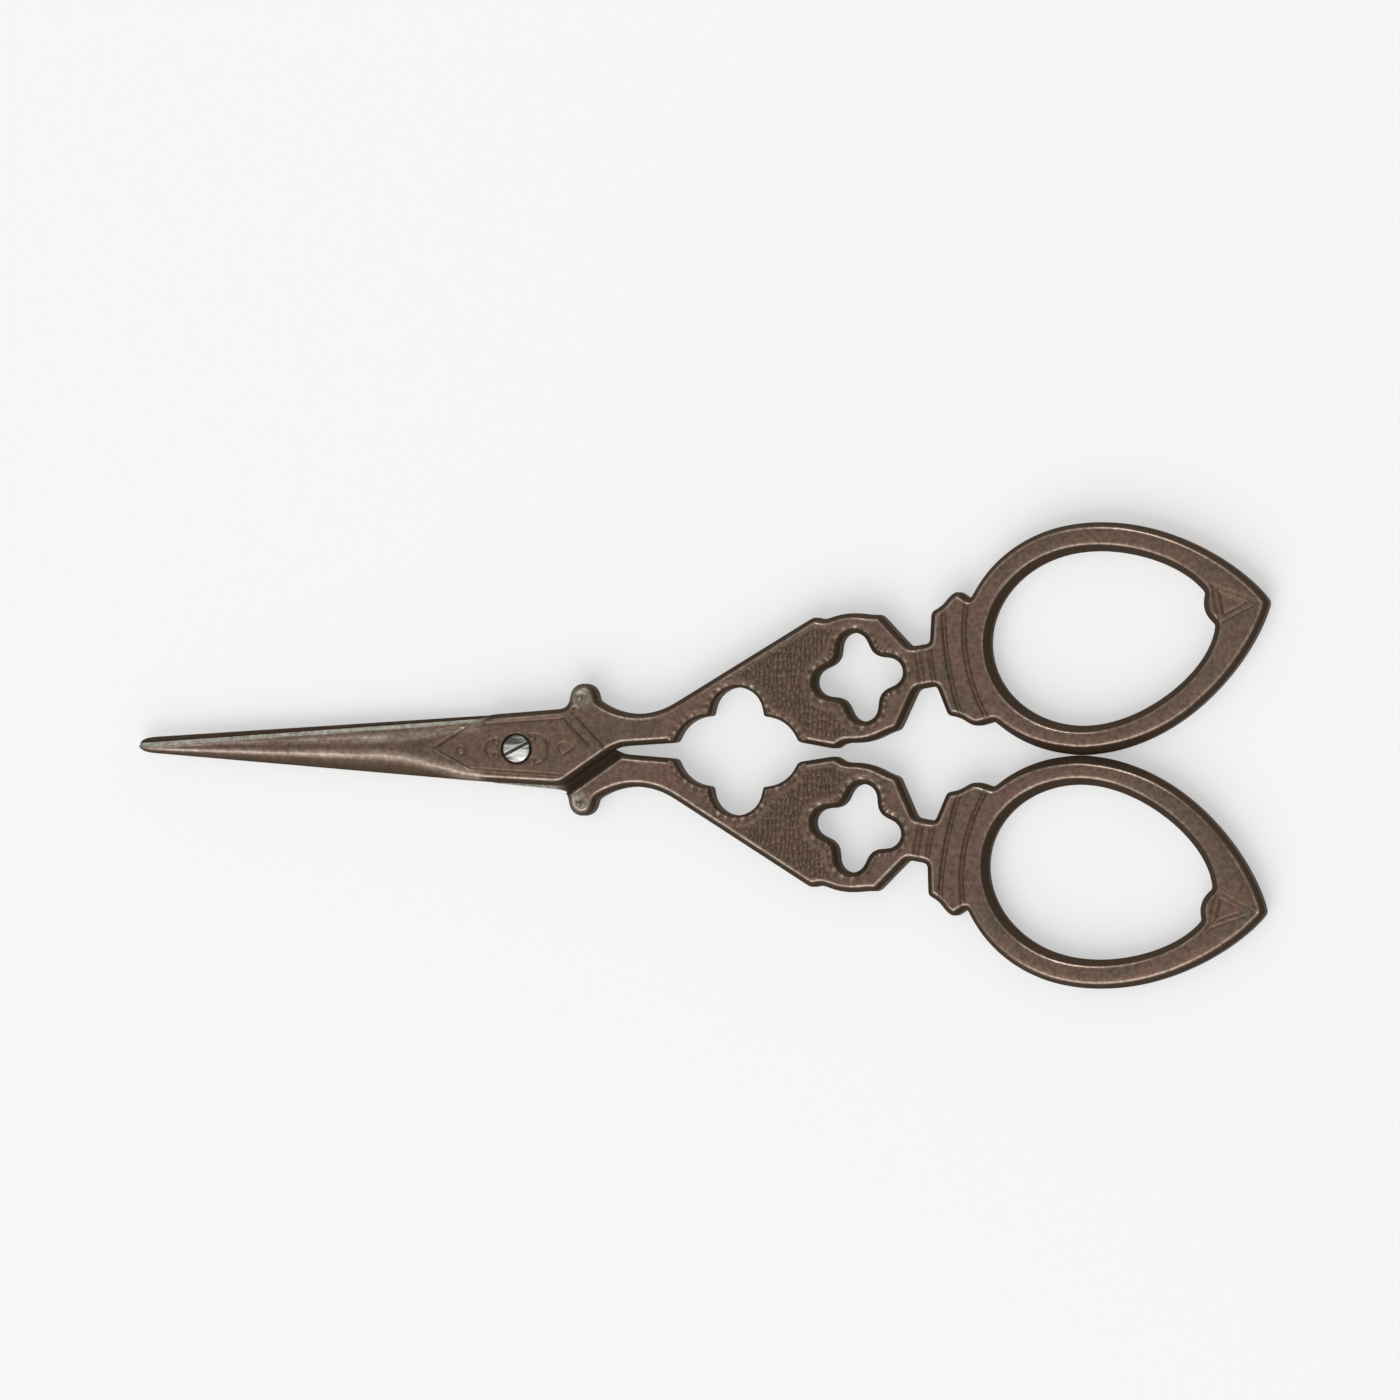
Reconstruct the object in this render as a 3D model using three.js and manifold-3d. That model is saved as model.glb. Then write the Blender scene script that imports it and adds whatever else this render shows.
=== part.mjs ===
// Embroidery scissors: two forged halves of one pattern, lapped at a slotted pivot screw.
// Millimetres, +Z up. The origin is on the pivot axis, in the plane that the closed scissors lie on.
// The tips point along -X, and the front half's handle is on the +Y side.

import * as THREE from "three";
import { mergeVertices } from "three/addons/utils/BufferGeometryUtils.js";
import Module from "manifold-3d";

const wasm = await Module();
wasm.setup();

// Thickness
const PLATE_THICKNESS = 1.6; // of each half at the pivot
const LAP_GAP = 0.06; // between the flat inner faces of the two halves
const EDGE_ROUND = 0.55; // rounding of the forged edges
const ROUND_STEPS = 2;
const CHORD_ERROR = 0.015; // largest distance between an arc and its facets
const ARC_MIN_STEPS = 4;
const MERGE_DISTANCE = 1e-5; // points nearer than this are one point

// Blade
const BLADE_LENGTH = 38.8; // pivot axis to tip
const GRIND_START = 3.6; // pivot axis to where the ground blade begins
const EDGE_AT_ROOT = 3.0; // cutting edge above the closing line
const EDGE_AT_TIP = 0.15;
const SPINE_AT_ROOT = 3.3; // spine below the closing line
const SPINE_AT_TIP = 0.7;
const TIP_ROUND = 1.2; // length over which the spine rounds off into the tip
const TIP_WIDTH = 0.4; // left at the very end
const TIP_THICKNESS = 0.75;
const EDGE_THICKNESS = 0.12;
const SPINE_THICKNESS = 0.5;
const TONGUE_LENGTH = 10.5; // over which the flat plate narrows to the crest of the blade
const GROUND_SHARE = 0.27; // of the blade's width, sloping down to the cutting edge
const BACK_SHARE = 0.38; // of the blade's width, sloping down to the spine
const CREST_FALL = 0.25; // height lost across the crest, towards the cutting edge
const BLADE_SECTIONS = 20;
const TIP_SECTIONS = 4;
const BLADE_EMBED = 1.0; // depth of the blade's root inside the plate

// Pivot plate
const PLATE_EDGE_ROOT = 3.4; // cutting side of the plate, above the closing line
const PLATE_EDGE_END = 4.05;
const PLATE_SPINE_END = 3.65;
const PLATE_STEP_RUN = 0.7; // length of the ramp from cutting edge to plate
const PLATE_CORNER_X = 4.5; // where the plate's slanted end begins
const PLATE_APEX_X = 9.7; // where the slanted end meets the closing line
const SHOULDER_CLEARANCE = 0.9; // between a plate's slanted end and the other half's shoulder

// Scroll beside the plate
const SCROLL_X = 6.7;
const SCROLL_Y = 5.3;
const SCROLL_RADIUS = 1.38;
const FILLET_STEPS = 5; // between the scroll and the plate

// Shank
const SLIT_ROOT_X = 10.7;
const SLIT_ROOT_HALF = 0.4; // half of the slit between the two shanks, at the plate
const SLIT_MOUTH_HALF = 0.8; // and where it opens into the cross
const DIP_X = 12.2; // lowest place of the shank's outer edge
const DIP_Y = 3.63;
const DIP_RADIUS = 7.0;

// Cross-shaped opening between the two handles, bounded by circles
const CROSS_X = 22.45;
const CROSS_SIDE_OFFSET = 2.85;
const CROSS_SIDE_RADIUS = 3.5;
const CROSS_TOP_OFFSET = 3.8;
const CROSS_TOP_RADIUS = 2.65;
const PANEL_FOOT = 1.0; // inner corner of the panel above the closing line

// Handle: an axis through the centre of the pierced panel, along which the sizes below are counted
const HANDLE_X = 34.75;
const HANDLE_TILT = THREE.MathUtils.degToRad(10);
const BOW_GAP = 0.1; // between the two bows when closed

// Pierced panel
const QUATREFOIL_REACH = 4.55; // centre to the end of each lobe
const QUATREFOIL_LOBE_RADIUS = 1.5;
const PANEL_RADIUS = 6.5;
const PANEL_ARC_SHIFT = 0.5; // the panel's rounded sides are centred this far before the quatrefoil
const PANEL_PEAK = new THREE.Vector2(-3.5, 6.7);
const PANEL_REAR_NOTCH_U = 2.1;
const PANEL_KNUCKLE = new THREE.Vector2(3.1, 5.85);
const PANEL_NOTCH_U = -2.5;

// Neck and collar
const NECK_START = 5.6;
const NECK_END = 7.65;
const NECK_HALF_WIDTH = 2.15;
const COLLAR_FRONT = new THREE.Vector2(8.3, 5.25);
const COLLAR_STEP = new THREE.Vector2(9.5, 5.65);
const COLLAR_RIM_FRONT = new THREE.Vector2(10.7, 6.75);
const COLLAR_RIM_BACK = new THREE.Vector2(11.4, 6.8);
const COLLAR_END = 12.6;

// Finger bow
const BOW_TURN = THREE.MathUtils.degToRad(2); // of the bow against the handle's axis
const BOW_WIDEST = 23.5; // from the panel's centre to the widest place
const BOW_HALF_WIDTH = 11.53;
const BOW_HEEL_LENGTH = 12.92; // from the widest place back to where its heel would close
const BOW_NOSE_LENGTH = 18.78; // from the widest place to the point
const BOW_FULLNESS = 9.2; // how far the side runs on straight before it turns to the point
const BOW_FLANK = 4.8; // straight stretch behind the point
const BOW_POINT_HALF_ANGLE = THREE.MathUtils.degToRad(65);
const BOW_CHEEK_STEPS = 22;
const BOW_SIDE_WALL = 2.89;
const BOW_HEEL_WALL = 2.98;
const BOW_NOSE_WALL = 5.66;
const OPENING_FULLNESS = 6.0; // how far the opening's side runs on straight
const OPENING_ROUND = 4.4; // size of the opening's rounded end
const NUB_RADIUS = 2.4; // rounded nub behind the bow's point
const NUB_REACH = 1.0; // how far it stands into the opening
const NUB_OFFSET = 0.7; // to the outer side of the bow's axis

// Pivot screw
const SCREW_DIAMETER = 1.8;
const SCREW_FIT = 0.05; // radial clearance in both halves
const HEAD_DIAMETER = 2.75;
const HEAD_FIT = 0.12; // radial clearance of the head in its seat
const HEAD_SEAT_DEPTH = 0.7;
const HEAD_SEAT_GAP = 0.04;
const HEAD_PROUD = 0.05; // rim of the head above the plate
const HEAD_CROWN = 0.15; // its middle above its rim
const SLOT_WIDTH = 0.42;
const SLOT_DEPTH = 0.4;
const SLOT_ANGLE = THREE.MathUtils.degToRad(28);
const SCREW_SIDES = 40;

const BODY_THICKNESS = 2 * PLATE_THICKNESS + LAP_GAP;
const HALF_BODY = BODY_THICKNESS / 2;
const INNER_FACE = LAP_GAP / 2; // of a half whose lapped side faces down, above the lap plane

const point = (x, y) => new THREE.Vector2(x, y);

// Points along an elliptical arc, both ends included
function ellipseArc(centre, radiusX, radiusY, from, to) {
  const step = 2 * Math.acos(1 - CHORD_ERROR / Math.max(radiusX, radiusY));
  const count = Math.max(ARC_MIN_STEPS, Math.ceil(Math.abs(to - from) / step));
  return Array.from({ length: count + 1 }, (_, i) => {
    const angle = from + ((to - from) * i) / count;
    return point(centre.x + radiusX * Math.cos(angle), centre.y + radiusY * Math.sin(angle));
  });
}

const arc = (centre, radius, from, to) => ellipseArc(centre, radius, radius, from, to);
const angleTo = (centre, p) => Math.atan2(p.y - centre.y, p.x - centre.x);

// Points along an arc between two points that lie on a circle.
// The turn is 1 for counter-clockwise and -1 for clockwise.
function arcBetween(centre, radius, start, end, turn) {
  const from = angleTo(centre, start);
  let to = angleTo(centre, end);
  while (turn * (to - from) < 0) to += turn * 2 * Math.PI;
  return arc(centre, radius, from, to);
}

// Where two circles cross, on the left of the way from the first centre to the second
function circleCross(a, radiusA, b, radiusB) {
  const along = b.clone().sub(a);
  const distance = along.length();
  const reach = (radiusA ** 2 - radiusB ** 2 + distance ** 2) / (2 * distance);
  const height = Math.sqrt(radiusA ** 2 - reach ** 2);
  along.normalize();
  return point(a.x + along.x * reach - along.y * height, a.y + along.y * reach + along.x * height);
}

// Where a line from p touches a circle, with the circle on the right of the way
function tangentPoint(p, centre, radius) {
  const toCentre = centre.clone().sub(p);
  const distance = toCentre.length();
  const length = Math.sqrt(distance ** 2 - radius ** 2);
  const angle = Math.atan2(toCentre.y, toCentre.x) + Math.asin(radius / distance);
  return point(p.x + length * Math.cos(angle), p.y + length * Math.sin(angle));
}

// Turns a point of the bow, given along the handle's axis, about the bow's widest place
const turnBow = (p) => p.clone().rotateAround(point(BOW_WIDEST, 0), BOW_TURN);

// Curve of one side of the bow or of its opening, from the widest place to the nose
function cheek(half, length, fullness, flank, halfAngle) {
  const nose = BOW_WIDEST + length;
  const curve = new THREE.CubicBezierCurve(
    point(BOW_WIDEST, half),
    point(BOW_WIDEST + fullness, half),
    point(nose - flank * Math.cos(halfAngle), flank * Math.sin(halfAngle)),
    point(nose, 0),
  );
  return curve.getPoints(BOW_CHEEK_STEPS);
}

// One side of the bow's outer edge in handle coordinates, from the collar to the point
function bowFlank(side) {
  const start = Math.acos((COLLAR_END - BOW_WIDEST) / BOW_HEEL_LENGTH);
  const heel = ellipseArc(point(BOW_WIDEST, 0), BOW_HEEL_LENGTH, BOW_HALF_WIDTH, start, Math.PI / 2);
  const nose = cheek(BOW_HALF_WIDTH, BOW_NOSE_LENGTH, BOW_FULLNESS, BOW_FLANK, BOW_POINT_HALF_ANGLE);
  return [...heel, ...nose.slice(1)].map((p) => turnBow(point(p.x, side * p.y)));
}

// One side of the handle in handle coordinates, from the panel's peak to the bow's point
function handleSide(side) {
  const centre = point(-PANEL_ARC_SHIFT, 0);
  const onPanel = (u) => point(u, Math.sqrt(PANEL_RADIUS ** 2 - (u - centre.x) ** 2));
  const front = [
    PANEL_PEAK,
    ...arcBetween(centre, PANEL_RADIUS, onPanel(PANEL_NOTCH_U), onPanel(PANEL_REAR_NOTCH_U), -1),
    PANEL_KNUCKLE,
    point(NECK_START, NECK_HALF_WIDTH),
    point(NECK_END, NECK_HALF_WIDTH),
    COLLAR_FRONT,
    COLLAR_STEP,
    COLLAR_RIM_FRONT,
    COLLAR_RIM_BACK,
  ];
  return [...front.map((p) => point(p.x, side * p.y)), ...bowFlank(side)];
}

const fromAxis = (p) => p.clone().rotateAround(point(0, 0), HANDLE_TILT);

// Height of the handle's centre at which the closed bows just miss each other
const HANDLE_Y = BOW_GAP / 2 - Math.min(...bowFlank(-1).map((p) => fromAxis(p).y));

const fromHandle = (p) => fromAxis(p).add(point(HANDLE_X, HANDLE_Y));

// Outline of plate, shank, panel, collar and bow, counter-clockwise from the plate's slanted end
function plateOutline() {
  const upperSide = handleSide(1).map(fromHandle);
  const lowerSide = handleSide(-1).map(fromHandle);
  const sideLeft = point(CROSS_X - CROSS_SIDE_OFFSET, 0);
  const sideRight = point(CROSS_X + CROSS_SIDE_OFFSET, 0);
  const top = point(CROSS_X, CROSS_TOP_OFFSET);
  const mouth = point(
    sideLeft.x - Math.sqrt(CROSS_SIDE_RADIUS ** 2 - SLIT_MOUTH_HALF ** 2),
    SLIT_MOUTH_HALF,
  );
  const cuspLeft = circleCross(sideLeft, CROSS_SIDE_RADIUS, top, CROSS_TOP_RADIUS);
  const cuspRight = circleCross(top, CROSS_TOP_RADIUS, sideRight, CROSS_SIDE_RADIUS);
  const foot = point(sideRight.x + Math.sqrt(CROSS_SIDE_RADIUS ** 2 - PANEL_FOOT ** 2), PANEL_FOOT);

  const dip = point(DIP_X, DIP_Y + DIP_RADIUS);
  const dipStart = tangentPoint(upperSide[0], dip, DIP_RADIUS);
  const scroll = point(SCROLL_X, SCROLL_Y);
  const scrollRight = circleCross(dip, DIP_RADIUS, scroll, SCROLL_RADIUS);
  const scrollLeft = point(SCROLL_X - SCROLL_RADIUS, SCROLL_Y);
  const edgeEnd = point(PLATE_CORNER_X, PLATE_EDGE_END);
  const fillet = new THREE.QuadraticBezierCurve(scrollLeft, point(scrollLeft.x, PLATE_EDGE_END), edgeEnd);

  return [
    point(PLATE_APEX_X, 0),
    point(SLIT_ROOT_X, SLIT_ROOT_HALF),
    ...arcBetween(sideLeft, CROSS_SIDE_RADIUS, mouth, cuspLeft, -1),
    ...arcBetween(top, CROSS_TOP_RADIUS, cuspLeft, cuspRight, -1).slice(1),
    ...arcBetween(sideRight, CROSS_SIDE_RADIUS, cuspRight, foot, -1).slice(1),
    ...lowerSide,
    ...upperSide.reverse().slice(1),
    ...arcBetween(dip, DIP_RADIUS, dipStart, scrollRight, -1),
    ...arcBetween(scroll, SCROLL_RADIUS, scrollRight, scrollLeft, 1).slice(1),
    ...fillet.getPoints(FILLET_STEPS).slice(1),
    point(PLATE_STEP_RUN - GRIND_START, PLATE_EDGE_ROOT),
    point(-GRIND_START, EDGE_AT_ROOT),
    point(-GRIND_START, -SPINE_AT_ROOT),
    point(PLATE_CORNER_X, -PLATE_SPINE_END),
  ];
}

// Four round lobes joined by round corners
function quatrefoilOutline() {
  const corner = QUATREFOIL_REACH - 2 * QUATREFOIL_LOBE_RADIUS;
  const lobeCentre = QUATREFOIL_REACH - QUATREFOIL_LOBE_RADIUS;
  const quarter = [
    ...arc(point(lobeCentre, 0), QUATREFOIL_LOBE_RADIUS, -Math.PI / 2, Math.PI / 2),
    ...arc(point(lobeCentre, lobeCentre), corner, 1.5 * Math.PI, Math.PI).slice(1, -1),
  ];
  const turns = [0, 1, 2, 3].map((i) => (i * Math.PI) / 2);
  return turns.flatMap((turn) => quarter.map((p) => p.clone().rotateAround(point(0, 0), turn)));
}

// Opening of the bow: half an ellipse at the heel and a longer rounded end towards the point
function bowOpening() {
  const half = BOW_HALF_WIDTH - BOW_SIDE_WALL;
  const heelLength = BOW_HEEL_LENGTH - BOW_HEEL_WALL;
  const noseLength = BOW_NOSE_LENGTH - BOW_NOSE_WALL;
  const heel = ellipseArc(point(BOW_WIDEST, 0), heelLength, half, Math.PI / 2, 1.5 * Math.PI);
  const nose = cheek(half, noseLength, OPENING_FULLNESS, OPENING_ROUND, Math.PI / 2);
  const below = nose.map((p) => point(p.x, -p.y));
  return [...heel, ...below.slice(1), ...nose.reverse().slice(1, -1)];
}

function toSolid(geometry) {
  geometry.deleteAttribute("normal");
  geometry.deleteAttribute("uv");
  const merged = mergeVertices(geometry, MERGE_DISTANCE);
  return new wasm.Manifold(
    new wasm.Mesh({
      numProp: 3,
      vertProperties: new Float32Array(merged.attributes.position.array),
      triVerts: new Uint32Array(merged.index.array),
    }),
  );
}

function toGeometry(solid) {
  const mesh = solid.getMesh();
  const geometry = new THREE.BufferGeometry();
  geometry.setAttribute("position", new THREE.BufferAttribute(mesh.vertProperties, 3));
  geometry.setIndex(new THREE.BufferAttribute(mesh.triVerts, 1));
  geometry.computeVertexNormals();
  return geometry;
}

// Full-thickness forging with rounded edges, its middle plane at z = 0
function forged(outline, holes) {
  const shape = new THREE.Shape(outline);
  shape.holes = holes.map((hole) => new THREE.Path(hole));
  const depth = BODY_THICKNESS - 2 * EDGE_ROUND;
  const geometry = new THREE.ExtrudeGeometry(shape, {
    depth,
    bevelThickness: EDGE_ROUND,
    bevelSize: EDGE_ROUND,
    bevelOffset: -EDGE_ROUND,
    bevelSegments: ROUND_STEPS,
  });
  return toSolid(geometry.translate(0, 0, -depth / 2));
}

// Upright prism between two heights
function prism(outline, bottom, top) {
  const geometry = new THREE.ExtrudeGeometry(new THREE.Shape(outline), {
    depth: top - bottom,
    bevelEnabled: false,
  });
  return toSolid(geometry.translate(0, 0, bottom));
}

function drum(radius, bottom, top) {
  const geometry = new THREE.CylinderGeometry(radius, radius, top - bottom, SCREW_SIDES);
  return toSolid(geometry.rotateX(Math.PI / 2).translate(0, 0, (bottom + top) / 2));
}

// Six-sided section of the blade at a distance from where the grind begins, as pairs of y and height
function bladeSection(along, inset) {
  const { lerp, smoothstep } = THREE.MathUtils;
  const run = BLADE_LENGTH - GRIND_START;
  const share = along / run;
  const tongue = smoothstep(along, 0, TONGUE_LENGTH);
  const rounding = Math.max(0, 1 - (run - along) / TIP_ROUND);
  const edge = lerp(EDGE_AT_ROOT, EDGE_AT_TIP, share) - inset;
  const spine = inset - lerp(SPINE_AT_ROOT, SPINE_AT_TIP, share);
  const back = lerp(spine, edge - TIP_WIDTH, 1 - Math.sqrt(1 - rounding ** 2));
  const width = edge - back;
  const crest = lerp(PLATE_THICKNESS, TIP_THICKNESS, share);
  return [
    [back, 0],
    [edge, 0],
    [edge, EDGE_THICKNESS],
    [edge - lerp(EDGE_ROUND, GROUND_SHARE * width, tongue), crest - CREST_FALL * tongue],
    [back + lerp(EDGE_ROUND, BACK_SHARE * width, tongue), crest],
    [back, lerp(crest - EDGE_ROUND, SPINE_THICKNESS, tongue)],
  ];
}

// Ground blade, lofted through its sections from inside the plate to the tip
function blade() {
  const run = BLADE_LENGTH - GRIND_START;
  const straight = run - TIP_ROUND;
  const places = [];
  for (let i = 0; i <= BLADE_SECTIONS; i += 1) places.push((straight * i) / BLADE_SECTIONS);
  for (let i = 1; i <= TIP_SECTIONS; i += 1) {
    places.push(straight + TIP_ROUND * Math.sin((Math.PI * i) / (2 * TIP_SECTIONS)));
  }
  const rings = [
    { x: BLADE_EMBED - GRIND_START, ring: bladeSection(0, EDGE_ROUND) },
    ...places.map((along) => ({ x: -GRIND_START - along, ring: bladeSection(along, 0) })),
  ];

  const sides = rings[0].ring.length;
  const positions = rings.flatMap(({ x, ring }) => ring.flatMap(([y, z]) => [x, y, INNER_FACE + z]));
  const index = [];
  for (let r = 0; r + 1 < rings.length; r += 1) {
    for (let i = 0; i < sides; i += 1) {
      const a = r * sides + i;
      const b = r * sides + ((i + 1) % sides);
      index.push(a, a + sides, b, b, a + sides, b + sides);
    }
  }
  const last = (rings.length - 1) * sides;
  for (let i = 1; i + 1 < sides; i += 1) {
    index.push(0, i, i + 1);
    index.push(last, last + i + 1, last + i);
  }
  const geometry = new THREE.BufferGeometry();
  geometry.setAttribute("position", new THREE.Float32BufferAttribute(positions, 3));
  geometry.setIndex(index);
  return toSolid(geometry);
}

// Space that one half leaves for the other: all that is below the lap, up to the shoulder
// beside the other plate's slanted end
function lapSpace() {
  const corner = point(PLATE_CORNER_X, PLATE_SPINE_END);
  const apex = point(PLATE_APEX_X, 0);
  const along = apex.clone().sub(corner).normalize();
  const offset = point(-along.y, along.x).multiplyScalar(SHOULDER_CLEARANCE);
  const reach = BLADE_LENGTH + HANDLE_X + BOW_WIDEST + BOW_NOSE_LENGTH;
  const start = corner.clone().add(offset).addScaledVector(along, -reach);
  const end = apex.clone().add(offset).addScaledVector(along, reach);
  return prism([start, point(start.x - reach, end.y), end], -BODY_THICKNESS, INNER_FACE);
}

// One half, lapped side down, with its handle on the +Y side and the lap plane at z = 0
function half() {
  const holes = [
    quatrefoilOutline().map(fromHandle),
    bowOpening().map(turnBow).map(fromHandle),
  ];
  const nubCentre = BOW_WIDEST + BOW_NOSE_LENGTH - BOW_NOSE_WALL + NUB_RADIUS - NUB_REACH;
  const nubPlace = fromHandle(turnBow(point(nubCentre, NUB_OFFSET)));
  const nub = arc(nubPlace, NUB_RADIUS, 0, 2 * Math.PI).slice(0, -1);
  return forged(plateOutline(), holes).add(forged(nub, [])).subtract(lapSpace()).add(blade());
}

// Slotted screw, its end level with the underside of the closed scissors
function pivotScrew() {
  const shank = SCREW_DIAMETER / 2;
  const head = HEAD_DIAMETER / 2;
  const seat = HALF_BODY - HEAD_SEAT_DEPTH + HEAD_SEAT_GAP;
  const rim = HALF_BODY + HEAD_PROUD;
  const crown = rim + HEAD_CROWN;
  const dome = (head ** 2 + HEAD_CROWN ** 2) / (2 * HEAD_CROWN);
  const profile = [
    point(0, -HALF_BODY),
    point(shank, -HALF_BODY),
    point(shank, seat),
    point(head, seat),
    ...arc(point(0, crown - dome), dome, Math.acos(head / dome), Math.PI / 2),
  ];
  const turned = new THREE.LatheGeometry(profile, SCREW_SIDES).rotateX(Math.PI / 2);
  const slot = new THREE.BoxGeometry(2 * HEAD_DIAMETER, SLOT_WIDTH, 2 * SLOT_DEPTH);
  slot.rotateZ(SLOT_ANGLE).translate(0, 0, crown);
  return toSolid(turned).subtract(toSolid(slot));
}

const facetReach = 1 / Math.cos(Math.PI / SCREW_SIDES); // keeps the flats of a bore clear of the screw
const bore = drum((SCREW_DIAMETER / 2 + SCREW_FIT) * facetReach, -BODY_THICKNESS, BODY_THICKNESS);
const headSeat = drum(
  (HEAD_DIAMETER / 2 + HEAD_FIT) * facetReach,
  HALF_BODY - HEAD_SEAT_DEPTH,
  BODY_THICKNESS,
);

const bronze = { color: 0x69564a, roughness: 0.42, metalness: 0.9 };
const steel = { color: 0xb9bcbb, roughness: 0.25, metalness: 1.0 };

function piece(name, solid, finish) {
  const mesh = new THREE.Mesh(toGeometry(solid), new THREE.MeshStandardMaterial(finish));
  mesh.name = name;
  mesh.position.z = HALF_BODY;
  return mesh;
}

const frontHalf = piece("front_half", half().subtract(bore).subtract(headSeat), bronze);
const backHalf = piece("back_half", half().subtract(bore), bronze);
backHalf.rotation.x = Math.PI;
const screw = piece("pivot_screw", pivotScrew(), steel);

const scissors = new THREE.Group();
scissors.add(frontHalf, backHalf, screw);

export default scissors;
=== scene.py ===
import math

import bpy
import numpy as np
from mathutils import Matrix, Vector, kdtree
from mathutils.geometry import delaunay_2d_cdt


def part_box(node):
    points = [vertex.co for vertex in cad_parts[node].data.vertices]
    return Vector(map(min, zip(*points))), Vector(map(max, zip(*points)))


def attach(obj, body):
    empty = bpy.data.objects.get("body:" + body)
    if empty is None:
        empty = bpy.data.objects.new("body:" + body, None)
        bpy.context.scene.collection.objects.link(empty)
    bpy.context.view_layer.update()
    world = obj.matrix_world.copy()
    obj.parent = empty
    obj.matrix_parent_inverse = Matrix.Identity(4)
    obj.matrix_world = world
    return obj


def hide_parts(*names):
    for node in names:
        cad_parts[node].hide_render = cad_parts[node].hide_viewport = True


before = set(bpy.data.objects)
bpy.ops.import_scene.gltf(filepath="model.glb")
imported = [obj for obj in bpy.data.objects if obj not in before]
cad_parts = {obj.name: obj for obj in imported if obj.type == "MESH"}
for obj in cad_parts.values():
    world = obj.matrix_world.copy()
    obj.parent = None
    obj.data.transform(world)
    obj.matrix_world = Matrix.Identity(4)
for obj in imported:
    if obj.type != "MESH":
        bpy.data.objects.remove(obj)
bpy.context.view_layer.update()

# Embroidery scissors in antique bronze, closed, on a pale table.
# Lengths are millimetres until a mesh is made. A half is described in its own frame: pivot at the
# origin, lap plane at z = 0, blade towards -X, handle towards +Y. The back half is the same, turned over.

MM = 0.001

# Heights, from the frame
half_low, half_high = (np.array(corner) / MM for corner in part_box("front_half"))
screw_high = np.array(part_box("pivot_screw")[1]) / MM
LAP = (half_low[2] + half_high[2]) / 2  # lap plane above the table
FACE = (half_high[2] - half_low[2]) / 2  # outer face of a half above the lap plane
INNER = 0.03  # flat inner face of a half above the lap plane
UPPER_CUT = 0.07  # height at which the whole outline is cut from the frame
LOWER_CUT = -0.5  # height at which the handle alone is cut

# Outline
STEP = 0.14  # between points of an outline
CORNER_TURN = math.radians(44)  # sharper turns stay corners
CORNER_REACH = 3
CORNER_ROUNDS = 9
SMOOTH_ROUNDS = 24
STRAIGHT_TURN = 0.003
BESIDE = 0.75  # of a step: a place this near a point's normal is measured along it

# Points of a skin
FINE = 0.09  # lattice where the relief bends
COARSE_EVERY = 4  # of the fine points, kept where it doesn't
LATTICE_START = -9.2  # the blade's own rows of points begin here
BEND = 0.004
RING_SHARES = (0.3, 0.6, 0.84, 0.94, 1.04, 1.16, 1.4)  # of the chamfer's width
RING_GAP = 0.09  # lattice points nearer than this to a ring are left out
RING_CLEAR = 0.95  # of its share: ring points that another edge comes nearer to are left out
LAP_STEP = 0.35
ARC_POINTS = 24
MERGE = 1e-7
WELD_DIGITS = 4
SHARP_TURN = math.radians(34)  # between faces that aren't shaded as one

# Colour marks hold darkening (patina, with painted shade), brightening (rubbed metal, with painted
# highlights) and ground steel
# Side walls: patina with painted shade
WALL_PATINA_AND_SHADE = (0.54, 0, 0)
# Seat under the screw's head and the head's underside: painted shade, dark all over
SUNK_PAINTED_SHADE = (1, 0, 0)

# Inner face
LAP_STRIP = (0.65, 0.95)  # from the outline, over which its border fades
LAP_DARK = (3.0, 5.0)  # painted shade grows over this stretch towards the shoulder
LAP_STEEL = 0.85
LAP_PATINA = 0.5
# Painted shade along the spine's border and at the shoulder
SPINE_SHADE = 0.9
SHOULDER_SHADE = 0.95

# Chamfered edges
CHAMFER = 0.53
EDGE_CHAMFERS = (CHAMFER, 0.36, 0.55, 0.74, 0.1)  # one for each kind of edge
CHAMFER_SLOPE = 1.1
CHAMFER_ROUND = 0.15
CHAMFER_PATINA_AND_SHADE = (1.0, 0.9)  # patina with painted shade, at the outline and at the chamfer's upper edge
CHAMFER_DARK_END = (0.86, 1.04)  # of the chamfer's width, over which it fades
EDGE_HIGHLIGHT_WIDTH = 0.15  # rubbed bright line with a painted highlight along the chamfer
EDGE_HIGHLIGHT_INSET = 0.02
EDGE_RUB_AND_HIGHLIGHT = 0.82
BEADED_EDGE_RUB_AND_HIGHLIGHT = 0.2

# Blade
GRIND_START = 3.6
GRIND_BLEND = (-4.5, -2.8)
TONGUE_LENGTH = 10.5
TIP_THICKNESS = 0.75
SPINE_THICKNESS = 0.5
EDGE_THICKNESS = 0.12
BACK_SHARE = 0.38
CREST_SHARE = 0.74
CREST_FALL = 0.25
BEVEL_AT_ROOT = 0.36
BEVEL_AT_TIP = 0.46
BEVEL_LIMIT = 0.4  # of the blade's width
BEVEL_SLOPE = 0.9
BEVEL_HEIGHT_LIMIT = 0.72  # of the crest's height
SPINE_HEIGHT_LIMIT = 0.6
LEAST_FLAT = 0.06  # of the blade's width, between crest and bevel
LEAST_WIDTH = 0.05
SECTION_SOFT = 0.035  # of the blade's width, over which the section's corners are rounded
SECTION_SHIFTS = (-1, -0.5, 0, 0.5, 1)
CREST_HIGHLIGHTS = ((0.9, 0.16), (0.8, 0.15))  # painted highlights along the crests: strength and half width, in shares of the blade's width
TIP_HIGHLIGHT = 0.8  # of that, left at the tip
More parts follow.
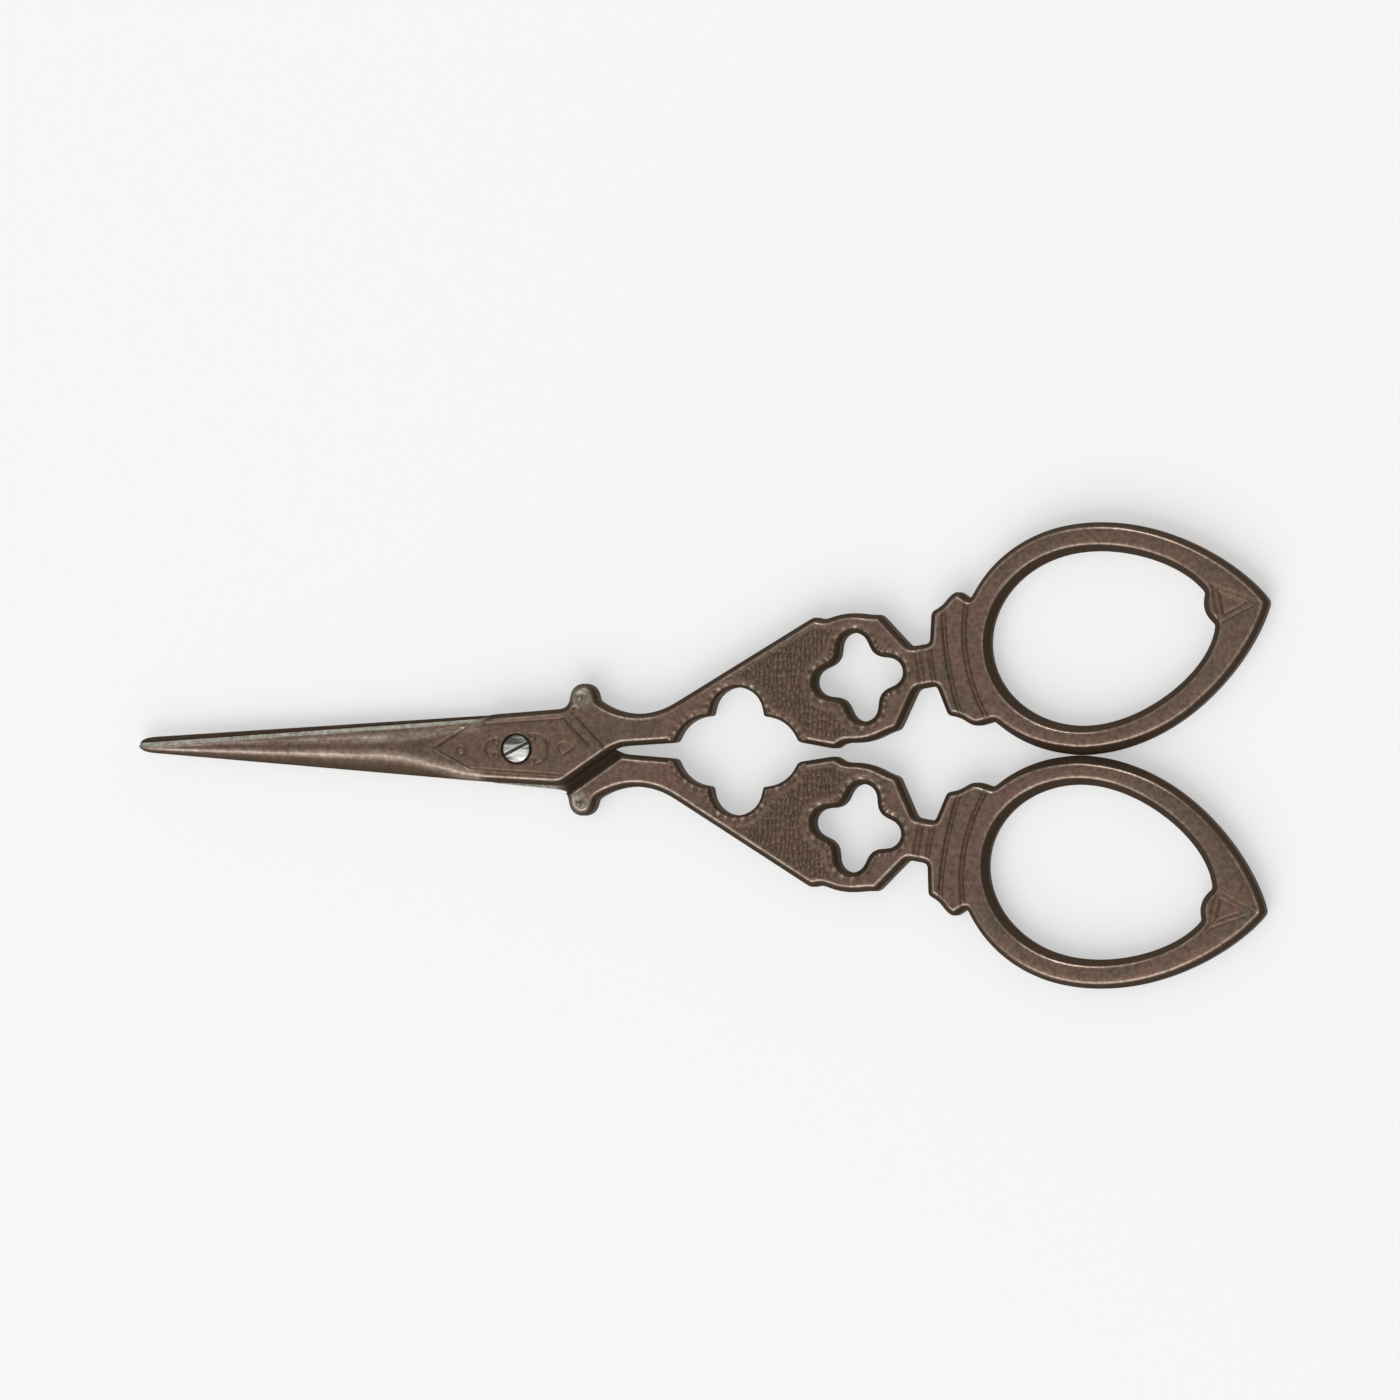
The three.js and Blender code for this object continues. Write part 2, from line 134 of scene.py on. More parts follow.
# Painted shade down the blade's slope to its spine
BLADE_SPINE_SHADE = 0.95
BLADE_SPINE_SHADE_BEND = 0.8
GROUND_START = (-0.015, 0.01)
BLADE_STATION = 0.3
BLADE_SHARES = (0.02, 0.06, 0.12, 0.18, 0.24, 0.29, 0.33, 0.37, 0.41, 0.45, 0.52, 0.6, 0.66, 0.7)
BLADE_UPPER_SHARES = (0.74, 0.78, 0.82, 0.86, 0.9, 0.935, 0.96, 0.985)
TIP_CLEAR = 0.25

# Pivot
HEAD_RADIUS = 1.375
SHANK_RADIUS = 0.9
SEAT_RADIUS = 1.495
BORE_RADIUS = 0.95
SEAT_DEPTH = 0.7
SEAT_GAP = 0.04
HEAD_CROWN = 0.15
HEAD_ROUND = 0.09
SLOT_HALF = 0.17
SLOT_DEPTH = 0.4
SLOT_WALL = 0.03
SLOT_ANGLE = math.radians(28)
SLOT_RUB_AND_HIGHLIGHT = (0.03, 0.06)  # rubbed line with a painted highlight beside the slot: how far beside it, and half its width
# Painted shade over this width at the head's rim
RIM_SHADE = 0.08
HEAD_RINGS = np.linspace(0.15, 0.985, 16)  # of the head's radius
SLOT_RUN = np.linspace(-0.97, 0.97, 60)
END_RINGS = (0.2, 0.4, 0.6, 0.75)
END_STEPS = 24
END_WEAR = (0.1, 0.2, 0)
CIRCLE_STEPS = 72

# Ornament of the plate
LOZENGE = ((4.5, 3.0), (-5.0, 2.25), (-8.45, 0.0), (-4.7, -2.05), (4.8, -2.6))
CHEVRONS = (((4.65, 3.14), (7.34, 0.38)), ((6.0, 3.29), (8.98, 0.18)))
GROOVE = 0.5
GROOVE_DEPTH = 0.13
CHEVRON = 0.46
RINGLET = (-5.7, -0.2)
RINGLET_RADIUS = 0.42
DROP = (4.8, 0.13)
DROP_RADIUS = 0.55
DROP_ARC = (55, 305)  # degrees
DROP_SHOULDER = (0.3, 0.45)
DROP_TIP = 0.95
SCROLLWORK = ((1.75, 1.5, -98), (-2.15, 1.0, 98))  # middle on the axis, radius, half the turn in degrees
VOLUTE = 0.3
FINE_GROOVE = 0.36
FINE_DEPTH = 0.085

# Depth of colour in the recesses
ENGRAVED_PATINA = 0.56
ENGRAVED_START = 0.02
ENGRAVING_CLEAR = (0.6, 1.1)  # of the chamfer's width, over which engraving begins
BEAD_PATINA = 0.35
SCALE_PATINA = 0.44
# Rubbed beads with a painted highlight
BEAD_RUB_AND_HIGHLIGHT = 1.0

# Scroll beside the plate
EYE = (6.4, 5.28)
EYE_RADIUS = 0.3
EYE_DEPTH = 0.14
BOWL_RADIUS = 0.85
BOWL_DEPTH = 0.17
# Painted highlight of a crescent over the eye
CRESCENT_RADIUS = 0.56
CRESCENT_WIDTH = 0.44
CRESCENT_ARC = (30, 190)  # degrees
CRESCENT_HIGHLIGHT = 0.9
EAR_STEEL = 0.3
EAR_RADIUS = (0.8, 1.5)
SCROLL_CURL = (6.1, 3.85)
SCROLL_CURL_RADIUS = 0.45
SCROLL_CURL_ARC = (20, 230)  # degrees

# Pierced panel
CROSS_CENTRE = (22.45, 0.0)
CROSS_REACH = 7.0
HANDLE_TILT = math.radians(10)
BEAD_PITCH = 0.72
BEAD_REACH = 0.4
BEAD_INSET = 0.08  # of the beads' line inside the chamfer
BEAD_BRIGHTENING = (0.2, 0.9)  # of the spread of numbers, over which beads go from plain to rubbed bright with a painted highlight
BEAD_POINT = 2  # how narrow a rubbed spot with its painted highlight is
NOTCH_DEPTH = 0.12
SCALE_SIZE = (0.45, 0.76)
SCALE_JITTER = 0.75
SCALE_GAP = 0.4
SCALE_DEPTH = 0.065
SCALE_UNEVEN = 0.02
SCALE_START = (19.6, 20.8)
SCALE_END = (-2.2, -1.2)  # along the handle
SCALE_BORDER = (0.25, 0.55)
BEADED_BORDER = 0.4
SCATTER = (12.9898, 78.233, 43758.5453)
SCATTER_SHIFT = 37  # to a second, unlike spread

# Neck, collar and bow
NECK_GROOVES = (6.1, 6.6, 7.4, 7.8)
NECK_HALF_WIDTH = 2.4
COLLAR_GROOVES = ((9.02, 0.0145), (9.4, 0.0145), (10.95, 0.03), (11.32, 0.03))  # place, bend
COLLAR_GROOVE = 0.26
COLLAR_GROOVE_DEPTH = 0.085
COLLAR_FOOT = (7.5, 8.1)
COLLAR_STEP = (8.95, 9.5)
COLLAR_STEP_DEPTH = 0.1
COLLAR_REACH = 7.0
BOW_TURN = math.radians(2)
BOW_WIDEST = 23.5
BOW_START = (11.0, 13.5)  # along the handle
BOW_HALF = 1.3
BOW_CROWN = 0.26  # by which the bow's rounded face falls towards its edges
TRIANGLE = ((13.45, -1.2), (18.0, 0.13), (13.45, 2.88))
TRIANGLE_INNER = 0.55

# Stop, where the closed bows meet
STOP_REACH = 1.9  # of its swelling
STOP_GAP = 0.02  # left between the two halves
STOP_CHAMFER = 0.36  # by which the bow's chamfer is wider there
STOP_CHAMFER_REACH = 12.0

# Kinds of edge
OUTER_EDGE, CROSS_EDGE, PIERCED_EDGE, OPENING_EDGE, HOLE_EDGE = range(5)


def lerp(a, b, share):
    return a + (b - a) * share


def smoothstep(low, high, value):
    t = np.clip((value - low) / (high - low), 0.0, 1.0)
    return t * t * (3 - 2 * t)


def ridge(distance, half_width):
    """1 on a line, falling softly to 0 at half the line's width."""
    return 0.5 + 0.5 * np.cos(np.pi * np.clip(np.abs(distance) / half_width, 0, 1))


def turned(points, angle):
    c, s = math.cos(angle), math.sin(angle)
    return points @ np.array([[c, s], [-s, c]])


def circle(centre, radius, steps=CIRCLE_STEPS):
    angles = np.arange(steps) * 2 * math.pi / steps
    return np.array(centre) + radius * np.stack([np.cos(angles), np.sin(angles)], 1)


def path_distance(points, path):
    path = np.array(path)
    best = np.full(len(points), np.inf)
    for start, end in zip(path[:-1], path[1:]):
        along = end - start
        share = np.clip((points - start) @ along / (along @ along), 0, 1)
        away = points - start - share[:, None] * along
        best = np.minimum(best, np.hypot(away[:, 0], away[:, 1]))
    return best


def signed_area(loop):
    following = np.roll(loop, -1, 0)
    return (loop[:, 0] * following[:, 1] - loop[:, 1] * following[:, 0]).sum() / 2


def centroid(loop):
    following = np.roll(loop, -1, 0)
    cross = loop[:, 0] * following[:, 1] - loop[:, 1] * following[:, 0]
    return ((loop + following) * cross[:, None]).sum(0) / (3 * cross.sum())


def cut_loops(name, height):
    """Closed outlines of a CAD node, cut level at a height above the lap plane, solid on the left."""
    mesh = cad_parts[name].data
    mesh.calc_loop_triangles()
    places = np.array([v.co for v in mesh.vertices]) / MM - (0, 0, LAP + height)
    following = {}
    for triangle in mesh.loop_triangles:
        corners = [tuple(places[i]) for i in triangle.vertices]
        ends = {}
        for a, b in zip(corners, corners[1:] + corners[:1]):
            if (a[2] > 0) != (b[2] > 0):
                first, last = np.array(sorted((a, b)))
                crossing = lerp(first, last, first[2] / (first[2] - last[2]))
                ends[a[2] > 0] = (crossing[0], crossing[1])
        if ends:
            following[ends[True]] = ends[False]
    loops = []
    while following:
        start, place = following.popitem()
        loop = [start]
        while place != start:
            loop.append(place)
            place = following.pop(place)
        loops.append(corners_only(np.array(loop)))
    return sorted(loops, key=signed_area)


def corners_only(loop):
    before = loop - np.roll(loop, 1, 0)
    after = np.roll(loop, -1, 0) - loop
    sine = before[:, 0] * after[:, 1] - before[:, 1] * after[:, 0]
    return loop[np.abs(sine) > STRAIGHT_TURN * np.hypot(*before.T) * np.hypot(*after.T)]


def with_points(loop, extra):
    """The loop with further points put in on its nearest stretch."""
    for place in extra:
        stretches = zip(loop, np.roll(loop, -1, 0))
        gaps = [path_distance(place[None], stretch)[0] for stretch in stretches]
        loop = np.insert(loop, int(np.argmin(gaps)) + 1, place, 0)
    return loop


def refine(loop):
    """The loop in short steps, facets smoothed to curves and corners slightly rounded.

    Also gives the numbers that the old points have in the new loop."""
    after = np.roll(loop, -1, 0) - loop
    heading = np.arctan2(after[:, 1], after[:, 0])
    turn = (heading - np.roll(heading, 1) + math.pi) % (2 * math.pi) - math.pi
    counts = np.maximum(1, np.ceil(np.hypot(*after.T) / STEP)).astype(int)
    shares = np.concatenate([np.arange(n) / n for n in counts])
    points = np.repeat(loop, counts, 0) + shares[:, None] * np.repeat(after, counts, 0)
    numbers = np.cumsum(counts) - counts
    corner = np.zeros(len(points), bool)
    corner[numbers] = np.abs(turn) > CORNER_TURN
    for _ in range(CORNER_REACH):
        corner = corner | np.roll(corner, 1) | np.roll(corner, -1)
    for done in range(SMOOTH_ROUNDS):
        smooth = points / 2 + (np.roll(points, 1, 0) + np.roll(points, -1, 0)) / 4
        held = corner & (done >= CORNER_ROUNDS)
        points = np.where(held[:, None], points, smooth)
    return points, numbers


def stretch(loop, start, end):
    """Points from one number of a closed loop to another, both included."""
    count = (end - start) % len(loop) + 1
    return loop[(start + np.arange(count)) % len(loop)]


class Outlines:
    """The outlines of a half, and the shoulder that parts its handle from its lapped blade and plate."""

    def __init__(self):
        loops = cut_loops("front_half", UPPER_CUT)
        whole = loops[-1]
        self.opening = refine(loops[0])[0]
        self.pierced = refine(loops[1])[0]
        self.centre = centroid(self.pierced)
        handle = cut_loops("front_half", LOWER_CUT)[-1]
        middles = (handle + np.roll(handle, -1, 0)) / 2
        closed = np.vstack([whole, whole[:1]])
        side = int(np.argmax(path_distance(middles, closed)))
        ends = [handle[side], handle[(side + 1) % len(handle)]]
        marked = with_points(whole, ends)
        self.whole, numbers = refine(marked)
        bow = self.whole[self.whole[:, 0] > self.opening[:, 0].min()]
        self.stop = bow[np.argmin(bow[:, 1])]
        swelling = ridge(np.hypot(*(self.whole - self.stop).T), STOP_REACH)
        self.whole[:, 1] -= swelling * (self.stop[1] - STOP_GAP / 2)
        first, last = (numbers[int(np.argmin(np.hypot(*(marked - end).T)))] for end in ends)
        self.handle_side = stretch(self.whole, last, first)
        self.lap_side = stretch(self.whole, first, last)
        steps = int(np.hypot(*(ends[1] - ends[0])) / STEP)
        shares = np.arange(steps + 1)[:, None] / steps
        self.shoulder = lerp(self.whole[first], self.whole[last], shares)
        blade = self.whole[self.whole[:, 0] < GRIND_BLEND[1]]
        tip = blade[np.argmin(blade[:, 0])]
        self.edge = blade[blade[:, 1] > tip[1]]
        self.spine = blade[blade[:, 1] <= tip[1]]
        self.edge = self.edge[np.argsort(self.edge[:, 0])]
        self.spine = self.spine[np.argsort(self.spine[:, 0])]
        self.tip = tip[0]


outlines = Outlines()


class Region:
    """A flat area with its closed outlines, which keep it on their left."""

    def __init__(self, loops, kinds):
        self.loops = loops
        self.points = np.vstack(loops)
        self.kind = np.concatenate([np.full(len(l), k) for l, k in zip(loops, kinds)])
        near_cross = np.hypot(*(self.points - CROSS_CENTRE).T) < CROSS_REACH
        self.kind[near_cross & (self.kind == OUTER_EDGE)] = CROSS_EDGE
        ways = [np.roll(l, -1, 0) - np.roll(l, 1, 0) for l in loops]
        self.along = np.vstack([w / np.hypot(*w.T)[:, None] for w in ways])
        self.inward = np.stack([-self.along[:, 1], self.along[:, 0]], 1)
        steps = [np.hypot(*(np.roll(l, -1, 0) - l).T) for l in loops]
        self.travel = np.concatenate([np.cumsum(s) - s for s in steps])
        self.tree = kdtree.KDTree(len(self.points))
        for number, (x, y) in enumerate(self.points):
            self.tree.insert((x, y, 0), number)
        self.tree.balance()

    def measure(self, points):
        """Distance into the area, negative outside, and the number of the nearest outline point."""
        nearest = np.array([self.tree.find((x, y, 0))[1] for x, y in points])
        away = points - self.points[nearest]
        inward = (away * self.inward[nearest]).sum(1)
        sideways = (away * self.along[nearest]).sum(1)
        straight = np.abs(sideways) < STEP * BESIDE
        distance = np.where(straight, np.abs(inward), np.hypot(*away.T))
        return np.where(inward < 0, -distance, distance), nearest

    def rings(self):
        """Points along the outlines' chamfers."""
        width = chamfer_width(self.points, self.kind)
        kept = []
        for share in RING_SHARES:
            points = self.points + self.inward * (share * width)[:, None]
            distance, _ = self.measure(points)
            on_blade = points[:, 0] < GRIND_BLEND[0]
            kept.append(points[(distance > RING_CLEAR * share * width) & ~on_blade])
        return thinned(np.vstack(kept), RING_GAP / 2)


def thinned(points, gap):
    """One point for each cell of a square grid."""
    _, first = np.unique(np.round(points / gap).astype(int), axis=0, return_index=True)
    return points[np.sort(first)]


def handle_places(points):
    """Places along and across the handle's axis, counted from the middle of the quatrefoil."""
    return turned(points - outlines.centre, -HANDLE_TILT)


def chamfer_width(points, kind):
    """Width of the chamfer of an edge, which grows towards the stop."""
    wider = STOP_CHAMFER * ridge(np.hypot(*(points - outlines.stop).T), STOP_CHAMFER_REACH)
    return np.array(EDGE_CHAMFERS)[kind] + wider * (kind == OUTER_EDGE)


def chamfer_drop(distance, width):
    soft = np.minimum(CHAMFER_ROUND, width / 2)
    bend = np.clip(width + soft - distance, 0, 2 * soft) ** 2 / (4 * soft)
    return CHAMFER_SLOPE * np.where(distance < width - soft, width - distance, bend)


def ring_groove(points, centre, radius, width):
    away = np.hypot(*(points - np.array(centre)).T)
    return ridge(away - radius, width / 2)


def arc_groove(points, centre, radius, width, start, end):
    """A groove along part of a circle, between two angles in degrees."""
    angles = np.radians(np.linspace(start, end, ARC_POINTS))
    path = np.array(centre) + radius * np.stack([np.cos(angles), np.sin(angles)], 1)
    return ridge(path_distance(points, path), width / 2)


def scrollwork(points, middle, radius, turn):
    """A C-shaped scroll beside the screw, with a small volute at each end."""
    facing = 0 if turn < 0 else 180
    groove = arc_groove(points, (middle, 0), radius, FINE_GROOVE, facing + turn, facing - turn)
    for side in (1, -1):
        angle = math.radians(facing + side * turn)
        reach = radius - VOLUTE
        centre = (middle + reach * math.cos(angle), reach * math.sin(angle))
        groove = np.maximum(groove, ring_groove(points, centre, VOLUTE, FINE_GROOVE))
    return groove


def plate_ornament(points):
    """Engraving round the screw: lozenge, chevrons, ringlet, scrolls and drop."""
    lines = GROOVE_DEPTH * ridge(path_distance(points, LOZENGE), GROOVE / 2)
    for chevron in CHEVRONS:
        lines = np.maximum(lines, GROOVE_DEPTH * ridge(path_distance(points, chevron), CHEVRON / 2))
    x, y = DROP_SHOULDER
    point = np.array(DROP) + [(x, y), (DROP_TIP, 0), (x, -y)]
    fine = [
        ring_groove(points, RINGLET, RINGLET_RADIUS, FINE_GROOVE),
        *(scrollwork(points, *scroll) for scroll in SCROLLWORK),
        arc_groove(points, DROP, DROP_RADIUS, FINE_GROOVE, *DROP_ARC),
        ridge(path_distance(points, point), FINE_GROOVE / 2),
    ]
    return np.maximum(lines, FINE_DEPTH * np.max(fine, 0))


def scroll_ornament(points):
    """Eye of the scroll with the curl under it, its bowl, a painted highlight in a crescent over it and
    bare steel.
    """
    away = np.hypot(*(points - np.array(EYE)).T)
    eye = EYE_DEPTH * ridge(away, EYE_RADIUS)
    bowl = BOWL_DEPTH * ridge(away, BOWL_RADIUS)
    curl = arc_groove(points, SCROLL_CURL, SCROLL_CURL_RADIUS, FINE_GROOVE, *SCROLL_CURL_ARC)
    gleam = arc_groove(points, EYE, CRESCENT_RADIUS, CRESCENT_WIDTH, *CRESCENT_ARC)
    steel = EAR_STEEL * (1 - smoothstep(*EAR_RADIUS, away))
    return np.maximum(eye, FINE_DEPTH * curl), bowl, CRESCENT_HIGHLIGHT * gleam, steel


def scatter(a, b):
    """An even spread of numbers from 0 to 1, the same for the same pair of whole numbers."""
    first, second, many = SCATTER
    return np.sin(a * first + b * second) * many % 1


def is_beaded(kind):
    return (kind == CROSS_EDGE) | (kind == PIERCED_EDGE)


def bead_row(distance, travel, kind, width):
    """Notches along the edges of cross and quatrefoil, and how bright the beads between are made: rubbed,
    with a painted highlight.
    """
    row = np.where(is_beaded(kind), ridge(distance - width - BEAD_INSET, BEAD_REACH), 0)
    bead = ridge((travel + BEAD_PITCH / 2) % BEAD_PITCH - BEAD_PITCH / 2, BEAD_PITCH / 2)
    worn = smoothstep(*BEAD_BRIGHTENING, scatter(np.floor(travel / BEAD_PITCH + 0.5), kind))
    return NOTCH_DEPTH * row * (1 - bead), worn * (row * bead) ** BEAD_POINT


def cell_gap(places):
    """How much farther the second nearest of a field of jittered cells is than the nearest."""
    cell = np.floor(places)
    nearest = np.full((2, len(places)), np.inf)
    for step in [(i, j) for i in (-1, 0, 1) for j in (-1, 0, 1)]:
        a, b = (cell + step).T
        jitter = np.stack([scatter(a, b), scatter(b + SCATTER_SHIFT, a)], 1) - 0.5
        seed = cell + step + 0.5 + SCALE_JITTER * jitter
        away = np.hypot(*(places - seed).T)
        nearest = np.sort(np.vstack([nearest, away]), 0)[:2]
    return nearest[1] - nearest[0]


def scale_field(points, along, distance, kind, width):
    """Uneven small scales between cross and quatrefoil."""
    border = distance - width - np.where(is_beaded(kind), BEADED_BORDER, 0)
    inside = smoothstep(*SCALE_START, points[:, 0]) * (1 - smoothstep(*SCALE_END, along))
    inside = inside * smoothstep(*SCALE_BORDER, border)
    places = points / SCALE_SIZE
    uneven = SCALE_UNEVEN * scatter(*np.floor(places).T)
    return inside * (SCALE_DEPTH * (1 - smoothstep(0, SCALE_GAP, cell_gap(places))) + uneven)


def collar_tier(along, across):
    """The lower front tier of the collar."""
    bent = along - COLLAR_GROOVES[0][1] * across**2
    tier = smoothstep(*COLLAR_FOOT, bent) * (1 - smoothstep(*COLLAR_STEP, bent))
    return COLLAR_STEP_DEPTH * tier * (np.abs(across) < COLLAR_REACH)


def neck_ornament(along, across):
    """Grooves across neck and collar."""
    depth = np.zeros(len(along))
    on_neck = np.abs(across) < NECK_HALF_WIDTH
    for place in NECK_GROOVES:
        depth = np.maximum(depth, FINE_DEPTH * ridge(along - place, FINE_GROOVE / 2) * on_neck)
    on_collar = np.abs(across) < COLLAR_REACH
    for place, bend in COLLAR_GROOVES:
        gap = along - place - bend * across**2
        depth = np.maximum(depth, COLLAR_GROOVE_DEPTH * ridge(gap, COLLAR_GROOVE / 2) * on_collar)
    return depth


def bow_places(along, across):
    """Places in the bow's own axes, counted from its widest place."""
    return turned(np.stack([along - BOW_WIDEST, across], 1), -BOW_TURN)


def tip_ornament(along, across):
    """Engraved triangle in the point of the bow, with a smaller one in it."""
    places = bow_places(along, across)
    triangle = np.array(TRIANGLE)
    middle = triangle.mean(0)
    small = lerp(middle, triangle, TRIANGLE_INNER)
    depth = np.zeros(len(along))
    for corners in (triangle, small):
        closed = np.vstack([corners, corners[:1]])
        depth = np.maximum(depth, FINE_DEPTH * ridge(path_distance(places, closed), FINE_GROOVE / 2))
    return depth


def blade_section(points):
    """Height above the inner face, and colour, of the blade at places given in the half's frame: painted
    highlights on its crests, painted shade to its spine.
    """
    x = points[:, 0]
    edge = np.interp(x, outlines.edge[:, 0], outlines.edge[:, 1])
    spine = np.interp(x, outlines.spine[:, 0], outlines.spine[:, 1])
    width = np.maximum(edge - spine, LEAST_WIDTH)
    share = np.clip((points[:, 1] - spine) / width, 0, 1)
    reach = np.clip((-GRIND_START - x) / (-GRIND_START - outlines.tip), 0, 1)
    tongue = smoothstep(0, TONGUE_LENGTH, -GRIND_START - x)
    crest = lerp(FACE - INNER, TIP_THICKNESS, reach)
    bevel = np.minimum(lerp(BEVEL_AT_ROOT, BEVEL_AT_TIP, reach), BEVEL_LIMIT * width) / width
    back = lerp(CHAMFER / width, BACK_SHARE, tongue)
    front = np.minimum(lerp(1 - CHAMFER / width, CREST_SHARE, tongue), 1 - bevel - LEAST_FLAT)
    thin = np.minimum(SPINE_THICKNESS, crest * SPINE_HEIGHT_LIMIT)
    knots = [np.zeros_like(x), back, front, 1 - bevel, np.ones_like(x)]
    heights = [
        lerp(crest - CHAMFER * CHAMFER_SLOPE, thin, tongue),
        crest,
        crest - CREST_FALL * tongue * crest / (FACE - INNER),
        np.minimum(EDGE_THICKNESS + BEVEL_SLOPE * bevel * width, crest * BEVEL_HEIGHT_LIMIT),
        np.full_like(x, EDGE_THICKNESS),
    ]
    height = np.zeros_like(x)
    for shift in SECTION_SHIFTS:
        height += section_height(share + shift * SECTION_SOFT, knots, heights) / len(SECTION_SHIFTS)
    height = np.where((share <= 0) | (share >= 1), section_height(share, knots, heights), height)
    # Painted highlights along the two crests
    lines = zip((back, front), CREST_HIGHLIGHTS)
    brightening = sum(strength * ridge(share - line, half_width) for line, (strength, half_width) in lines)
    # Painted shade down the slope towards the spine
    darkening = BLADE_SPINE_SHADE * np.clip(1 - share / back, 0, 1) ** BLADE_SPINE_SHADE_BEND
    ground = smoothstep(*GROUND_START, share - 1 + bevel)
    return height, np.stack([darkening, brightening * lerp(1, TIP_HIGHLIGHT, reach), ground], 1)


def section_height(share, knots, heights):
    """Straight lines between the knots of a section."""
    result = heights[0] + 0 * share
    for i in range(len(knots) - 1):
        run = np.maximum(knots[i + 1] - knots[i], 1e-6)
        part = np.clip((share - knots[i]) / run, 0, 1)
        result = np.where(share > knots[i], lerp(heights[i], heights[i + 1], part), result)
    return result


def carve(points, region):
    """Height of the outer face above the lap plane, and its colour: patina, rubbed metal, painted shade
    and highlights.
    """
    distance, nearest = region.measure(points)
    distance = np.maximum(distance, 0)
    kind = region.kind[nearest]
    width = chamfer_width(points, kind)
    along, across = handle_places(points).T
    notch, bead = bead_row(distance, region.travel[nearest], kind, width)
    scroll, bowl, gleam, bare = scroll_ornament(points)
    scales = scale_field(points, along, distance, kind, width)
    engraved = [plate_ornament(points), scroll]
    engraved += [neck_ornament(along, across), tip_ornament(along, across)]
    clear = smoothstep(*ENGRAVING_CLEAR, distance / width)
    depth = np.maximum(np.max([scales, *engraved], 0) * clear + bowl, notch)
    recess = np.max([
        ENGRAVED_PATINA * smoothstep(ENGRAVED_START, GROOVE_DEPTH, np.max(engraved, 0)),
        BEAD_PATINA * smoothstep(0, NOTCH_DEPTH, notch),
        SCALE_PATINA * smoothstep(0, SCALE_DEPTH, scales),
    ], 0) * clear
    crown = BOW_CROWN * smoothstep(*BOW_START, along) * (1 - np.clip(distance / BOW_HALF, 0, 1)) ** 2
    height = FACE - chamfer_drop(distance, width) - collar_tier(along, across) - crown
    # Patina with painted shade on the chamfers, darkest at the outline
    side = lerp(*CHAMFER_PATINA_AND_SHADE, np.clip(distance / width, 0, 1))
    side = side * (1 - smoothstep(*CHAMFER_DARK_END, distance / width))
    # Rubbed line with a painted highlight along the chamfer's upper edge
    line = ridge(distance - width - EDGE_HIGHLIGHT_INSET, EDGE_HIGHLIGHT_WIDTH)
    line = line * np.where(is_beaded(kind), BEADED_EDGE_RUB_AND_HIGHLIGHT, EDGE_RUB_AND_HIGHLIGHT)
    brightening = np.max([line * (kind != HOLE_EDGE), BEAD_RUB_AND_HIGHLIGHT * bead, gleam], 0)
    wear_and_shading = np.stack([side, brightening, bare], 1)
    blade, blade_wear_and_shading = blade_section(points)
    plate = smoothstep(*GRIND_BLEND, points[:, 0])
    height = lerp(blade + INNER, height, plate) - depth
    wear_and_shading = lerp(blade_wear_and_shading, wear_and_shading, plate[:, None])
    wear_and_shading[:, 0] = np.maximum(wear_and_shading[:, 0], recess)
    return height, wear_and_shading


def lap_wear_and_shading(points, lap):
    """Colour marks of the inner face: ground along the cutting edge, painted shade along the spine and at
    the shoulder.
    """
    distance, nearest = lap.measure(points)
    border = 1 - smoothstep(*LAP_STRIP, distance)
    blade = 1 - smoothstep(*LAP_DARK, points[:, 0])
    cutting = (lap.inward[nearest, 1] < 0) & (lap.kind[nearest] == OUTER_EDGE)
    darkening = lerp(LAP_PATINA, np.where(cutting, 0, SPINE_SHADE), border)
    steel = LAP_STEEL * border * blade * cutting
    return np.stack([lerp(SHOULDER_SHADE, darkening, blade), 0 * steel, steel], 1)


def lattice(low, high, step):
    rows = np.arange(low[1], high[1], step * math.sqrt(0.75))
    columns = np.arange(low[0], high[0], step)
    x, y = np.meshgrid(columns, rows)
    x[1::2] += step / 2
    return np.stack([x, y], -1)


def bending(height):
    """Where a height over a lattice bends enough to need all its points."""
    sharp = np.zeros(height.shape, bool)
    sharp[:, 1:-1] |= np.abs(height[:, 2:] + height[:, :-2] - 2 * height[:, 1:-1]) > BEND
    sharp[2:-2] |= np.abs(height[4:] + height[:-4] - 2 * height[2:-2]) > 2 * BEND
    wide = sharp.copy()
    wide[:, 1:] |= sharp[:, :-1]
    wide[:, :-1] |= sharp[:, 1:]
    wide[1:] |= sharp[:-1]
    wide[:-1] |= sharp[1:]
    return wide


def relief_points(region):
    """Points inside a region: rings along its chamfers and a lattice, fine where the relief bends."""
    rings = region.rings()
    low = np.maximum(region.points.min(0), (LATTICE_START, -np.inf))
    grid = lattice(low, region.points.max(0), FINE)
    shape = grid.shape[:2]
    flat = grid.reshape(-1, 2)
    distance, _ = region.measure(flat)
    height, _ = carve(flat, region)
    keep = bending(np.where(distance > 0, height, FACE).reshape(shape))
    keep[::COARSE_EVERY, ::COARSE_EVERY] = True
    keep = keep.ravel() & (distance > RING_GAP)
    tree = kdtree.KDTree(len(rings))
    for number, (x, y) in enumerate(rings):
        tree.insert((x, y, 0), number)
    tree.balance()
    inner = flat[keep]
    clear = np.array([tree.find((x, y, 0))[2] > RING_GAP for x, y in inner])
    return np.vstack([rings, inner[clear]])


